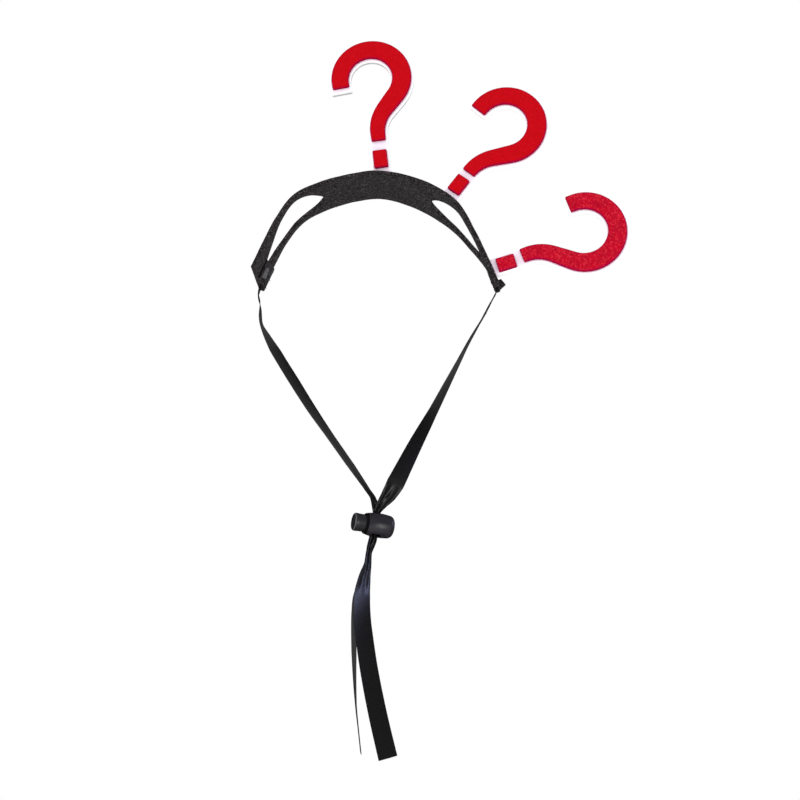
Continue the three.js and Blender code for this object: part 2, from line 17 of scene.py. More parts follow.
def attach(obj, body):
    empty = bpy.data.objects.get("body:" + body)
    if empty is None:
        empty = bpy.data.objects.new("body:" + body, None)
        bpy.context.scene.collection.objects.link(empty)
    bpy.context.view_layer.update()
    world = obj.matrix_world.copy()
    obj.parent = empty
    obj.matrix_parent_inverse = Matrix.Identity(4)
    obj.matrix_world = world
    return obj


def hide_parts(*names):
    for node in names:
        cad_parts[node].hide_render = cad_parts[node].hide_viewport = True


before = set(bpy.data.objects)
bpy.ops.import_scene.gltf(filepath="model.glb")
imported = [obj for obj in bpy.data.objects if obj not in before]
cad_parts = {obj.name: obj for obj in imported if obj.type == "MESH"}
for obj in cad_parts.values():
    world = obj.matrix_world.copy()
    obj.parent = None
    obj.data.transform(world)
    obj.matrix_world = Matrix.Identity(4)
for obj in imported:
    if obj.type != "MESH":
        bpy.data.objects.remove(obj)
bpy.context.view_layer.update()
MM = 0.001

# %% [markdown]
# ## The camera
# The photograph looks slightly up at the headband from a little to the right, with a long lens.
# Its place was worked out from the band's front and rear edges, and is kept here as real distances.

# %% The camera
CAMERA_PLACE = Vector((0.17315, -1.84716, -0.75575))
CAMERA_AZIMUTH = math.radians(5.0)
CAMERA_RISE = math.radians(18.9)
LENS_MM = 168.2
SENSOR_MM = 36.0

camera_data = bpy.data.cameras.new("camera")
camera_data.lens = LENS_MM
camera_data.sensor_width = SENSOR_MM
camera_data.clip_end = 100.0
camera = bpy.data.objects.new("camera", camera_data)
bpy.context.scene.collection.objects.link(camera)
camera.location = CAMERA_PLACE
camera.rotation_euler = (math.pi / 2 + CAMERA_RISE, 0.0, CAMERA_AZIMUTH)
bpy.context.scene.camera = camera
print("camera set, looking up by", round(math.degrees(CAMERA_RISE), 1), "degrees")

# %% [markdown]
# ## Reading tables
# A shape that changes along its length is held in a short table, one row for each section.
# Between two rows the values follow a smooth curve, so few rows are enough.

# %% Tables and even steps
def table(columns, rows):
    return [dict(zip(columns, row)) for row in rows]


def read_table(rows, place, key="along"):
    last = len(rows) - 1

    def slope(i, column):
        a = rows[max(i - 1, 0)]
        b = rows[min(i + 1, last)]
        return (b[column] - a[column]) / (b[key] - a[key])

    i = next((n for n, row in enumerate(rows) if row[key] > place), last + 1) - 1
    values = {}
    for column in rows[0]:
        if i < 0 or i == last:
            edge = 0 if i < 0 else last
            values[column] = rows[edge][column] + slope(edge, column) * (place - rows[edge][key])
            continue
        width = rows[i + 1][key] - rows[i][key]
        t = (place - rows[i][key]) / width
        values[column] = (
            rows[i][column] * (1 + 2 * t) * (1 - t) ** 2
            + rows[i + 1][column] * (3 - 2 * t) * t**2
            + slope(i, column) * width * t * (1 - t) ** 2
            + slope(i + 1, column) * width * t**2 * (t - 1)
        )
    return values


def steps(low, high, count):
    return [low + (high - low) * i / count for i in range(count + 1)]


example = table(("along", "height"), [(0.0, 0.0), (1.0, 2.0), (3.0, 3.0)])
between = [round(read_table(example, place)["height"], 2) for place in steps(0.0, 3.0, 6)]
print("a short table, read in even steps:", between)

# %% [markdown]
# ## Making meshes
# Every piece is written in millimetres and turned into metres only when its mesh is made.
# A loft joins rings that have the same number of corners, and closes both ends.

# %% Mesh helpers
def new_piece(name, points_mm, faces, smooth=True):
    mesh = bpy.data.meshes.new(name)
    mesh.from_pydata([Vector(p) * MM for p in points_mm], [], faces)
    mesh.update()
    piece = bpy.data.objects.new(name, mesh)
    bpy.context.scene.collection.objects.link(piece)
    if smooth:
        mesh.shade_smooth()
    return piece


def tidy_normals(piece, weld_mm=0.0):
    work = bmesh.new()
    work.from_mesh(piece.data)
    if weld_mm:
        bmesh.ops.remove_doubles(work, verts=work.verts, dist=weld_mm * MM)
    bmesh.ops.recalc_face_normals(work, faces=work.faces)
    work.to_mesh(piece.data)
    work.free()


def grid_faces(rows, columns, gap=None):
    """The quads between rows of points. There is none after the column that is named as the gap."""
    faces = []
    for r in range(rows - 1):
        for c in range(columns - 1):
            if c != gap:
                a = r * columns + c
                faces.append((a, a + 1, a + 1 + columns, a + columns))
    return faces


def loft(name, rings, smooth=True):
    corners = len(rings[0])
    points = [p for ring in rings for p in ring]
    faces = []
    for r in range(len(rings) - 1):
        for c in range(corners):
            a = r * corners + c
            b = r * corners + (c + 1) % corners
            faces.append((a, b, b + corners, a + corners))
    end = (len(rings) - 1) * corners
    faces.append(tuple(range(corners))[::-1])
    faces.append(tuple(end + c for c in range(corners)))
    piece = new_piece(name, points, faces, smooth)
    tidy_normals(piece)
    return piece


def with_modifiers(piece, **modifiers):
    """Adds each modifier in turn, then turns the result into the piece's own plain mesh."""
    for kind, settings in modifiers.items():
        modifier = piece.modifiers.new(kind.lower(), kind)
        for key, value in settings.items():
            setattr(modifier, key, value)
    return apply_modifiers(piece)


def soften(piece, width_mm, sharper_than, segments=2):
    """Rounds the edges that are sharper than an angle in degrees."""
    bevel = dict(width=width_mm * MM, segments=segments, limit_method="ANGLE")
    bevel["angle_limit"] = math.radians(sharper_than)
    return with_modifiers(piece, BEVEL=bevel)


def sharpen(piece, sharper_than):
    """Shades the edges that are sharper than an angle in degrees as sharp ones."""
    piece.data.set_sharp_from_angle(angle=math.radians(sharper_than))


def apply_modifiers(piece):
    graph = bpy.context.evaluated_depsgraph_get()
    made = bpy.data.meshes.new_from_object(piece.evaluated_get(graph))
    old = piece.data
    name = old.name
    piece.modifiers.clear()
    piece.data = made
    bpy.data.meshes.remove(old)
    made.name = name
    return piece


def dress(piece, finish, body="headband", nodes=()):
    """Gives a piece its finish, lets it ride on its body, and hides the CAD parts it stands for."""
    piece.data.materials.clear()
    piece.data.materials.append(finish)
    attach(piece, body)
    if nodes:
        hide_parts(*nodes)
    return piece


def paint_faces(piece, finish, chosen):
    """Gives one more finish to a piece, on the faces that pass a test."""
    piece.data.materials.append(finish)
    last = len(piece.data.materials) - 1
    for face in piece.data.polygons:
        if chosen(face):
            face.material_index = last


print("quads in a grid of 3 rows and 4 columns:", len(grid_faces(3, 4)))

# %% [markdown]
# ## Finishes
# Each finish is a small tree of nodes that reads Object coordinates or the piece's own UV map.
# A helper makes the tree's usual parts, so that each finish below only says what is special to it.

# %% Node helpers
def new_finish(name, colour, roughness, specular=0.5, **sockets):
    finish = bpy.data.materials.new(name)
    finish.use_nodes = True
    shader = finish.node_tree.nodes["Principled BSDF"]
    shader.inputs["Base Color"].default_value = (*colour, 1.0)
    shader.inputs["Roughness"].default_value = roughness
    shader.inputs["Specular IOR Level"].default_value = specular
    for socket, value in sockets.items():
        shader.inputs[socket.replace("_", " ").title()].default_value = value
    return finish, shader


def add_node(finish, kind, **inputs):
    node = finish.node_tree.nodes.new(kind)
    for socket, value in inputs.items():
        node.inputs[socket.replace("_", " ").title()].default_value = value
    return node


def link(finish, source, target):
    finish.node_tree.links.new(source, target)


def add_noise(finish, size_mm, detail=3.0, roughness=0.6):
    """A noise whose grains are about size_mm across, in the object's own place."""
    place = add_node(finish, "ShaderNodeTexCoord")
    scale = 1.0 / (size_mm * MM)
    grain = add_node(finish, "ShaderNodeTexNoise", scale=scale, detail=detail, roughness=roughness)
    link(finish, place.outputs["Object"], grain.inputs["Vector"])
    return grain.outputs["Fac"]


def add_ramp(finish, value, stops):
    """Maps a value to colours: stops are (position, (r, g, b))."""
    ramp = add_node(finish, "ShaderNodeValToRGB")
    elements = ramp.color_ramp.elements
    while len(elements) < len(stops):
        elements.new(0.5)
    for element, (position, colour) in zip(elements, stops):
        element.position = position
        element.color = (*colour, 1.0)
    link(finish, value, ramp.inputs["Fac"])
    return ramp.outputs["Color"]


def add_bump(finish, shader, height, depth_mm, strength=1.0):
    bump = add_node(finish, "ShaderNodeBump", strength=strength, distance=depth_mm * MM)
    link(finish, height, bump.inputs["Height"])
    link(finish, bump.outputs["Normal"], shader.inputs["Normal"])


def add_mix(finish, factor, a, b):
    mix = add_node(finish, "ShaderNodeMix")
    mix.data_type = "RGBA"
    link(finish, factor, mix.inputs["Factor"])
    for value, socket in ((a, mix.inputs[6]), (b, mix.inputs[7])):
        if isinstance(value, tuple):
            socket.default_value = (*value, 1.0)
        else:
            link(finish, value, socket)
    return mix.outputs[2]


helpers = (new_finish, add_node, link, add_noise, add_ramp, add_bump, add_mix)
print("helpers for finishes:", [helper.__name__ for helper in helpers])

# %% [markdown]
# ### Felt
# Felt is pressed wool or polyester, so it has no weave: it is matte, cloudy and full of short hairs.
# The black band's lighter flecks are painted glints, for hairs that catch the light; the red sheet is
# smoother.

# %% Felt finishes
CLOUD_SIZE = 3.5


def felt_finish(name, dark, mid, light, fleck_mm, fleck_from=0.55):
    finish, shader = new_finish(name, mid, 0.95, specular=0.06, sheen_weight=0.03, sheen_roughness=0.5)
    cloud = add_ramp(finish, add_noise(finish, CLOUD_SIZE, 3.0), [(0.3, dark), (0.7, mid)])
    # the flecks: painted glints on the black felts, the felt's own mottle on the red ones
    fleck = add_ramp(
        finish,
        add_noise(finish, fleck_mm, 4.0, 0.75),
        [(fleck_from, (0.0, 0.0, 0.0)), (0.72, (1.0, 1.0, 1.0))],
    )
    link(finish, add_mix(finish, fleck, cloud, light), shader.inputs["Base Color"])
    add_bump(finish, shader, add_noise(finish, fleck_mm * 0.7, 5.0, 0.8), 0.25)
    return finish


BLACK_FELT = felt_finish(
    "black felt", (0.0065, 0.0052, 0.0056), (0.015, 0.012, 0.013), (0.12, 0.108, 0.112), 1.0, 0.5
)
BLACK_HAIR = felt_finish(
    "black felt hairs", (0.012, 0.011, 0.011), (0.03, 0.028, 0.028), (0.12, 0.115, 0.115), 0.8, 0.5
)
RED_FELT = felt_finish("red felt", (0.41, 0.0, 0.003), (0.465, 0.0, 0.005), (0.55, 0.008, 0.016), 1.1)
RED_MOTTLED = felt_finish(
    "mottled red felt", (0.335, 0.0, 0.013), (0.44, 0.0, 0.014), (0.73, 0.035, 0.055), 0.85, 0.5
)
print("felts:", [felt.name for felt in (BLACK_FELT, BLACK_HAIR, RED_FELT, RED_MOTTLED)])

# %% [markdown]
# ### Foam, ribbon and plastic
# The backing is white foam sheet with tiny closed cells. The ribbon is satin: fine threads run along
# it and give it a long soft sheen. The cord lock is moulded plastic with a faint spark-eroded grain.
# The foam's front face has painted shade tinted pink by painted red light; its rear edge has painted shade.

# %% Foam, ribbon and plastic finishes
FOAM_CELL = 0.45
RIBBON_THREAD = 0.22
RIBBON_PICK = 0.9


def foam_finish(name, low, high):
    finish, shader = new_finish(name, low, 0.8, specular=0.2)
    place = add_node(finish, "ShaderNodeTexCoord")
    cells = add_node(finish, "ShaderNodeTexVoronoi", scale=1.0 / (FOAM_CELL * MM))
    link(finish, place.outputs["Object"], cells.inputs["Vector"])
    tone = add_ramp(finish, add_noise(finish, 3.0, 2.0), [(0.3, low), (0.7, high)])
    link(finish, tone, shader.inputs["Base Color"])
    add_bump(finish, shader, cells.outputs["Distance"], 0.04, 0.1)
    return finish


def ribbon_finish():
    """U runs along the ribbon and V across it, both in metres."""
    finish, shader = new_finish("satin ribbon", (0.006, 0.0055, 0.006), 0.3)
    place = add_node(finish, "ShaderNodeUVMap")
    place.uv_map = "ribbon"
    stretched = add_node(finish, "ShaderNodeMapping", scale=(0.12, 1.0, 1.0))
    link(finish, place.outputs["UV"], stretched.inputs["Vector"])
    threads = add_node(finish, "ShaderNodeTexNoise", scale=1.0 / (RIBBON_THREAD * MM), detail=2.0)
    link(finish, stretched.outputs["Vector"], threads.inputs["Vector"])
    pick_scale = 1.0 / (RIBBON_PICK * MM)
    picks = add_node(finish, "ShaderNodeTexWave", scale=pick_scale, distortion=0.6, detail=1.0)
    picks.bands_direction = "X"
    link(finish, place.outputs["UV"], picks.inputs["Vector"])
    tones = [(0.3, (0.0042, 0.0038, 0.0038)), (0.75, (0.009, 0.0085, 0.009))]
    tone = add_ramp(finish, threads.outputs["Fac"], tones)
    link(finish, tone, shader.inputs["Base Color"])
    rough = add_node(finish, "ShaderNodeMapRange", to_min=0.24, to_max=0.36)
    link(finish, threads.outputs["Fac"], rough.inputs["Value"])
    link(finish, rough.outputs["Result"], shader.inputs["Roughness"])
    height = add_node(finish, "ShaderNodeMath")
    height.operation = "ADD"
    link(finish, threads.outputs["Fac"], height.inputs[0])
    link(finish, picks.outputs["Fac"], height.inputs[1])
    add_bump(finish, shader, height.outputs["Value"], 0.02, 0.2)
    return finish


def plastic_finish(name, colour, roughness):
    finish, shader = new_finish(name, colour, roughness)
    worn = add_node(finish, "ShaderNodeMapRange", to_min=roughness - 0.05, to_max=roughness + 0.12)
    link(finish, add_noise(finish, 1.6, 3.0), worn.inputs["Value"])
    link(finish, worn.outputs["Result"], shader.inputs["Roughness"])
    tone = add_ramp(
        finish,
        add_noise(finish, 4.0, 2.0),
        [(0.3, tuple(c * 0.85 for c in colour)), (0.7, tuple(c * 1.15 for c in colour))],
    )
    link(finish, tone, shader.inputs["Base Color"])
    add_bump(finish, shader, add_noise(finish, 0.35, 2.0), 0.02, 0.5)
    return finish


WHITE_FOAM = foam_finish("white foam", (0.965, 0.945, 0.955), (0.99, 0.98, 0.985))
# painted shade, tinted pink by painted red light, for the foam's front face
FOAM_PAINTED_FACE = foam_finish("white foam, painted shade and red light", (0.81, 0.71, 0.81), (0.85, 0.76, 0.86))
# painted shade for the strip of the foam's walls beside its rear edge
FOAM_PAINTED_REAR = foam_finish("white foam, painted shade at rear edge", (0.50, 0.51, 0.52), (0.58, 0.59, 0.60))
SATIN = ribbon_finish()
BODY_PLASTIC = plastic_finish("lock body plastic", (0.019, 0.017, 0.022), 0.28)
# painted shade: near-black plastic for the inside of the barrel's mouth and its rim
MOUTH_PAINTED_SHADE, _ = new_finish("lock body, painted shade in mouth", (0.003, 0.0028, 0.0032), 0.9, specular=0.1)
BUTTON_PLASTIC = plastic_finish("lock button plastic", (0.018, 0.017, 0.019), 0.32)
# painted highlight: a paler plastic for the bevel of the button's cap
BUTTON_PAINTED_HIGHLIGHT, _ = new_finish("lock button, painted highlight on bevel", (0.085, 0.084, 0.088), 0.35)
print("finishes so far:", len(bpy.data.materials))

# %% [markdown]
# ## The band
# The band is one strip of felt, arched over the head, that narrows towards its right end.
# Its table gives the front and the rear edge of the strip at a few places along the arch.
# A point of the felt is then found from how far along the arch it lies, its share of the
# width, and how far it stands out from the middle of the felt's thickness.

# %% The band's sizes and sections
BAND_WIDTH = 36.0
BAND_REACH = 65.0
BAND_DROP = 62.0
FELT = 2.2

BAND_SECTIONS = table(
    ("along", "front_x", "front_y", "front_z", "rear_x", "rear_y", "rear_z"),
    [
        (-1.0, -1.0, -1.0, -0.836, -1.0, 1.0, -0.83),
        (-0.83, -0.905, -1.0, -0.613, -0.905, 1.0, -0.61),
        (-0.67, -0.8, -1.0, -0.392, -0.8, 1.0, -0.392),
        (-0.5, -0.665, -1.0, -0.197, -0.657, 1.0, -0.203),
        (-0.33, -0.458, -1.0, -0.089, -0.454, 1.0, -0.087),
        (-0.17, -0.232, -1.0, -0.029, -0.23, 1.0, -0.02),
        (0.0, 0.0, -1.0, 0.0, 0.0, 1.0, 0.0),
        (0.17, 0.242, -1.0, -0.047, 0.225, 1.0, -0.071),
        (0.33, 0.469, -1.0, -0.147, 0.432, 1.0, -0.19),
        (0.5, 0.662, -1.0, -0.306, 0.612, 0.92, -0.348),
        (0.67, 0.783, -0.95, -0.53, 0.757, 0.71, -0.545),
        (0.83, 0.886, -0.82, -0.766, 0.889, 0.52, -0.752),
        (1.0, 0.981, -0.67, -1.004, 0.975, 0.39, -0.982),
    ],
)

SLOT_COLUMNS = ("along", "front", "rear")
LEFT_SLOT = table(
    SLOT_COLUMNS,
    [
        (-0.9, 0.56, 0.65),
        (-0.864, 0.475, 0.725),
        (-0.823, 0.395, 0.757),
        (-0.769, 0.32, 0.8),
        (-0.743, 0.275, 0.825),
        (-0.69, 0.19, 0.865),
        (-0.628, 0.14, 0.885),
        (-0.553, 0.12, 0.88),
        (-0.479, 0.145, 0.865),
        (-0.42, 0.2, 0.815),
        (-0.375, 0.3, 0.745),
        (-0.345, 0.4, 0.65),
        (-0.325, 0.5, 0.56),
    ],
)
RIGHT_SLOT = table(
    SLOT_COLUMNS,
    [
        (0.318, 0.5, 0.6),
        (0.335, 0.42, 0.67),
        (0.37, 0.33, 0.75),
        (0.42, 0.26, 0.82),
        (0.475, 0.22, 0.865),
        (0.555, 0.19, 0.895),
        (0.62, 0.205, 0.9),
        (0.685, 0.228, 0.885),
        (0.73, 0.27, 0.85),
        (0.765, 0.375, 0.79),
        (0.795, 0.49, 0.71),
        (0.812, 0.57, 0.65),
    ],
)
print("rows: band", len(BAND_SECTIONS), "left slot", len(LEFT_SLOT), "right slot", len(RIGHT_SLOT))

# %% A point on the band
def band_edge(along, side):
    row = read_table(BAND_SECTIONS, along)
    return Vector(
        (
            row[side + "_x"] * BAND_REACH,
            row[side + "_y"] * BAND_WIDTH / 2,
            FELT / 2 + row[side + "_z"] * BAND_DROP,
        )
    )


def band_point(along, share, raised):
    step = 0.01
    ends = []
    for side in ("front", "rear"):
        tangent = band_edge(along + step, side) - band_edge(along - step, side)
        outward = Vector((-tangent.z, 0.0, tangent.x)).normalized()
        ends.append(band_edge(along, side) + outward * raised)
    return ends[0].lerp(ends[1], share)


def band_width(along):
    return (band_point(along, 0, 0) - band_point(along, 1, 0)).length


print("band width, mm: middle", round(band_width(0), 1), "right end", round(band_width(1), 1))

# %% [markdown]
# The felt is made as two strips of quads, one from the front edge to the slots and one from the
# slots to the rear edge. Where there is no slot the two strips share their middle line, and are
# welded there. Solidify then gives the felt its thickness, and Bevel rounds its cut edges.

# %% The band's felt
ALONG_STEPS = 150
HALF_STEPS = 9
TIP = 0.004
WELD = 0.02
EDGE_ROUND = 0.45
RIPPLE_SIZE = 7.0
RIPPLE_HEIGHT = 0.12
SLOT_MIDDLES = table(
    ("along", "middle"),
    [(-1.0, 0.6), (-0.9, 0.605), (-0.325, 0.53), (0.318, 0.55), (0.812, 0.61), (1.0, 0.6)],
)


def slot_sides(along):
    """Where the front and the rear strip end at this place: apart in a slot, together elsewhere."""
    for rows in (LEFT_SLOT, RIGHT_SLOT):
        if rows[0]["along"] - TIP / 2 <= along <= rows[-1]["along"] + TIP / 2:
            row = read_table(rows, min(max(along, rows[0]["along"]), rows[-1]["along"]))
            return row["front"], row["rear"]
    a, b = next(pair for pair in zip(SLOT_MIDDLES, SLOT_MIDDLES[1:]) if along <= pair[1]["along"])
    t = (along - a["along"]) / (b["along"] - a["along"])
    middle = a["middle"] + (b["middle"] - a["middle"]) * t
    return middle, middle


def band_stations():
    places = steps(-1.0, 1.0, ALONG_STEPS)
    for rows in (LEFT_SLOT, RIGHT_SLOT):
        for tip, outside in ((rows[0]["along"], -TIP), (rows[-1]["along"], TIP)):
            places = [p for p in places if abs(p - tip) > TIP * 1.2]
            places += [tip, tip + outside]
    return sorted(places)


def make_band():
    stations = band_stations()
    points = []
    faces = grid_faces(len(stations), 2 * (HALF_STEPS + 1), gap=HALF_STEPS)
    for along in stations:
        front, rear = slot_sides(along)
        shares = steps(0.0, front, HALF_STEPS) + steps(rear, 1.0, HALF_STEPS)
        points += [band_point(along, share, 0.0) for share in shares]
    piece = new_piece("band_felt", points, faces)
    tidy_normals(piece, WELD)
    with_modifiers(
        piece,
        SOLIDIFY=dict(thickness=FELT * MM, offset=0.0, use_even_offset=True),
        BEVEL=dict(
            width=EDGE_ROUND * MM, segments=2, limit_method="ANGLE", angle_limit=math.radians(50)
        ),
    )
    for vertex in piece.data.vertices:
        place = vertex.co / (RIPPLE_SIZE * MM)
        vertex.co += vertex.normal * noise.noise(place) * RIPPLE_HEIGHT * MM
    return dress(piece, BLACK_FELT, nodes=["band"])


band = make_band()
BAND_TREE = BVHTree.FromObject(band, bpy.context.evaluated_depsgraph_get())
print("band felt faces:", len(band.data.polygons))

# %% [markdown]
# ## The doubled ends
# At each end a second layer of felt is folded in behind the strap's end and sewn down. Its edges are
# pinched against the band by the stitches, so the layer is a shallow pillow. The left one is thicker.

# %% The doubled ends
LAP_PINCH = 0.315
LAP_SINK = 0.05
LAP_REAR = 0.995
LAP_STEPS = 14
LAP_ACROSS = 18
LAP_ROUND = 0.3
SEATS = {
    "left": dict(end=-1.0, lap_from=-0.872, pocket_from=-0.9, lap_front=0.41, middle=0.81, turn_out=-7),
    "right": dict(end=1.0, lap_from=0.86, pocket_from=0.89, lap_front=0.34, middle=0.67, turn_out=-10),
}
LAP_SLANT = {"left": 0.035, "right": 0.0}
LAP_PUFF = {"left": 1.15, "right": 0.3}


def lap_face(side):
    """How far the face of the doubled layer is from the middle of the felt."""
    return -FELT / 2 - LAP_PINCH - LAP_PUFF[side]


def make_lap(side):
    seat = SEATS[side]
    base = -FELT / 2 + LAP_SINK
    rings = []
    for i, down in enumerate(steps(0.0, 1.0, LAP_STEPS)):
        upper = []
        lower = []
        for j, share in enumerate(steps(seat["lap_front"], LAP_REAR, LAP_ACROSS)):
            begin = seat["lap_from"] + LAP_SLANT[side] * j / LAP_ACROSS
            along = begin + (seat["end"] - begin) * down
            edge = min(j, LAP_ACROSS - j, i) / 2.0
            puff = LAP_PUFF[side] * min(1.0, edge) ** 0.5 if i else 0.0
            upper.append(band_point(along, share, base))
            lower.append(band_point(along, share, base - LAP_PINCH - puff))
        rings.append(upper + lower[::-1])
    piece = loft(f"lap_{side}", rings)
    soften(piece, LAP_ROUND, sharper_than=60)
    return dress(piece, BLACK_FELT)


laps = [make_lap(side) for side in SEATS]
print("doubled ends stand in from the felt's middle, mm:", [round(lap_face(side), 2) for side in SEATS])

# %% [markdown]
# The felt at the right end is folded outwards beside the strap, as a short stiff tab. Its four
# corners are given at its front, and from there it runs back and slightly up, a little smaller.

# %% The folded tab
TAB_FRONT = -2.5
TAB_BACK = 4.5
TAB_CORNERS = ((65.4, -55.8), (67.9, -59.2), (63.2, -63.5), (59.7, -57.5))
TAB_RISE = 0.38
TAB_SIDE = -0.06
TAB_SHRINK = 0.12
TAB_ROUND = 0.35


def make_tab():
    middle = sum((Vector(corner) for corner in TAB_CORNERS), Vector((0, 0))) / 4
    rings = []
    for back in steps(0.0, 1.0, 6):
        depth = (TAB_BACK - TAB_FRONT) * back
        shift = Vector((TAB_SIDE, TAB_RISE)) * depth
        ring = []
        for corner in TAB_CORNERS:
            p = Vector(corner).lerp(middle, TAB_SHRINK * back) + shift
            ring.append((p.x, TAB_FRONT + depth, p.y))
        rings.append(ring)
    piece = loft("felt_tab", rings, smooth=False)
    soften(piece, TAB_ROUND, sharper_than=50)
    return dress(piece, BLACK_FELT)


tab = make_tab()
print("folded tab faces:", len(tab.data.polygons))

# %% [markdown]
# ## The question marks
# Each mark is a stroke along one centre line: most of a circle, a short straight, a gentle bend and
# a stem. The red felt is that stroke, and the foam behind it is the same stroke with a border, carried
# on past the gap and the dot down to the band. So one line and one table of widths make both layers.
# Lengths are in mm. A mark's end_border is the foam past the hook's end, its dot_shift is how far the
# dot is off the stem's middle, and the next column is how wide the strip of painted shade is at the foam's
# rear edge.

# %% The stroke's centre line
HOOK_HEIGHT = 50.4
HOOK_TURN = math.radians(-42)
BEND_RADIUS = 20.0
STEM_OFFSET = 0.4
HOOK_STRAIGHT = 9
HOOK_STEPS = 64
BEND_STEPS = 14
STEM_WIDTH = 7.6
DOT_HEIGHT = 10.0
BORDER = 0.9
FOAM = 4.4
RED_LAYER = 2.0
GLUE_GAP = 0.3
MARK_SETBACK = 0.4

STROKE_WIDTHS = table(
    ("along", "width"),
    [(0.0, 9.0), (0.22, 9.7), (0.5, 10.3), (0.7, 10.0), (0.85, 8.7), (1.0, STEM_WIDTH)],
)
MARKS = table(
    (
        *("name", "along", "lean", "tall", "radius", "hook_end", "stem_foot", "dot_top", "dot_turn"),
        *("end_border", "dot_shift", "shade_strip_width", "felt"),
    ),
    [
        ("top", 0.033, -6.1, 1.078, 16.6, 192, 17.9, 12.3, 0, 1.9, 0.0, 2.3, RED_FELT),
        ("shoulder", 0.437, 37.3, 0.983, 16.9, 185, 16.5, 13.0, 0, 0.7, 0.0, 0.5, RED_FELT),
        ("side", 0.904, 69.8, 1.033, 17.4, 189, 16.5, 12.5, 4, 0.3, 0.8, 0.5, RED_MOTTLED),
    ],
)


def hook_line(mark):
    radius = mark["radius"]
    foot = mark["stem_foot"]
    centre = HOOK_HEIGHT * mark["tall"]
    straight_start = math.radians(HOOK_STRAIGHT)
    begin = math.radians(mark["hook_end"]) - straight_start
    arc = steps(begin, HOOK_TURN, HOOK_STEPS)
    points = [Vector((radius * math.cos(a), centre + radius * math.sin(a))) for a in arc]
    backwards = Vector((-math.sin(begin), math.cos(begin)))
    points.insert(0, points[0] + backwards * radius * straight_start)
    heading = Vector((math.sin(HOOK_TURN), -math.cos(HOOK_TURN)))
    across = BEND_RADIUS * (1 - math.cos(HOOK_TURN))
    straight = (points[-1].x - STEM_OFFSET - across) / -heading.x
    bend_start = points[-1] + heading * straight
    points += [points[-1].lerp(bend_start, t) for t in (0.34, 0.67)]
    bend_centre = Vector((STEM_OFFSET + BEND_RADIUS, bend_start.y + BEND_RADIUS * math.sin(HOOK_TURN)))
    for a in steps(math.pi - HOOK_TURN, math.pi, BEND_STEPS):
        points.append(bend_centre + Vector((math.cos(a), -math.sin(a))) * BEND_RADIUS)
    return [p for p in points if p.y > foot + 1] + [Vector((STEM_OFFSET, foot))]


def line_lengths(line):
    lengths = [0.0]
    for a, b in zip(line, line[1:]):
        lengths.append(lengths[-1] + (b - a).length)
    return lengths


def stroke_half(share):
    return read_table(STROKE_WIDTHS, min(max(share, 0.0), 1.0))["width"] / 2


for mark in MARKS:
    print(mark["name"], "mark's centre line, mm:", round(line_lengths(hook_line(mark))[-1], 1))

# %% [markdown]
# A rounded rectangle is carried along the line. At both ends it closes with a smaller ring first,
# so that the cut edges of the sheet look slightly soft, as die-cut felt and foam do.

# %% Strokes cut from sheet
END_INSET = 0.6


def section(half_width, front, back, corner, turns=3):
    """A rounded rectangle as (side, depth) pairs, with its corners as short arcs."""
    ring = []
    for side, depth, start in ((1, 1, 0), (-1, 1, 90), (-1, -1, 180), (1, -1, 270)):
        for angle in steps(start, start + 90, turns):
            a = math.radians(angle)
            middle = back - corner if depth > 0 else front + corner
            across = side * (half_width - corner) + corner * math.cos(a)
            ring.append((across, middle + corner * math.sin(a)))
    return ring


def stroke_piece(line, half_at, front, back, corner, place, grow=0.0):
    lengths = line_lengths(line)
    rings = []
    last = len(line) - 1
    for i, point in enumerate(line):
        heading = (line[min(i + 1, last)] - line[max(i - 1, 0)]).normalized()
        side = Vector((-heading.y, heading.x))
        stops = [(0.0, 0.0)]
        inset_at_end = corner * END_INSET
        if i == 0:
            stops = [(-grow, inset_at_end), (inset_at_end - grow, 0.0)]
        if i == last:
            stops = [(-inset_at_end, 0.0), (0.0, inset_at_end)]
        for shift, inset in stops:
            middle = point + heading * shift
            half = half_at(lengths[i] / lengths[-1]) - inset
            ring = section(half, front + inset, back - inset, corner)
            rings.append(
                [place @ Vector((middle.x + side.x * s, depth, middle.y + side.y * s)) for s, depth in ring]
            )
    return rings


def mark_place(mark):
    edge = band_point(mark["along"], 0.0, FELT / 2)
    front = edge.y + MARK_SETBACK
    depth = front + RED_LAYER + GLUE_GAP + FOAM / 2
    foot = band_point(mark["along"], (depth - edge.y) / band_width(mark["along"]), FELT / 2)
    turn = Matrix.Rotation(math.radians(mark["lean"]), 4, "Y")
    return Matrix.Translation((foot.x, 0.0, foot.z)) @ turn, front


for mark in MARKS:
    print(mark["name"], "mark's front face, mm:", round(mark_place(mark)[1], 2))

# %% [markdown]
# Each red sheet has a darker cut edge: the walls that run round it are found from their normals.
# The hook follows the stroke, and the dot is a short block whose front edge is rounded.

# %% Red hooks and dots
WALL_FROM = 0.98
SHEET_OVERLAP = 0.25
HOOK_CORNER = 0.5
DOT_CORNER = 0.7
DOT_RINGS = ((0.0, 0.5), (0.13, 0.15), (0.5, 0.0), (RED_LAYER, 0.0), (RED_LAYER + SHEET_OVERLAP, 0.2))
CUT_EDGE = {
    RED_FELT: new_finish("red felt, cut edge", (0.31, 0.0, 0.028), 0.95, specular=0.05)[0],
    RED_MOTTLED: new_finish("mottled felt, cut edge", (0.31, 0.0, 0.036), 0.95, specular=0.05)[0],
}


def is_wall(face):
    return abs(face.normal.y) < WALL_FROM


def red_piece(mark, rings, part):
    name = f"question_{mark['name']}_{part}"
    piece = dress(loft(name + "_felt", rings), mark["felt"], nodes=[name])
    paint_faces(piece, CUT_EDGE[mark["felt"]], is_wall)
    return piece


def make_hook(mark, place, front):
    back = front + RED_LAYER + SHEET_OVERLAP
    rings = stroke_piece(hook_line(mark), stroke_half, front, back, HOOK_CORNER, place)
    return red_piece(mark, rings, "hook")


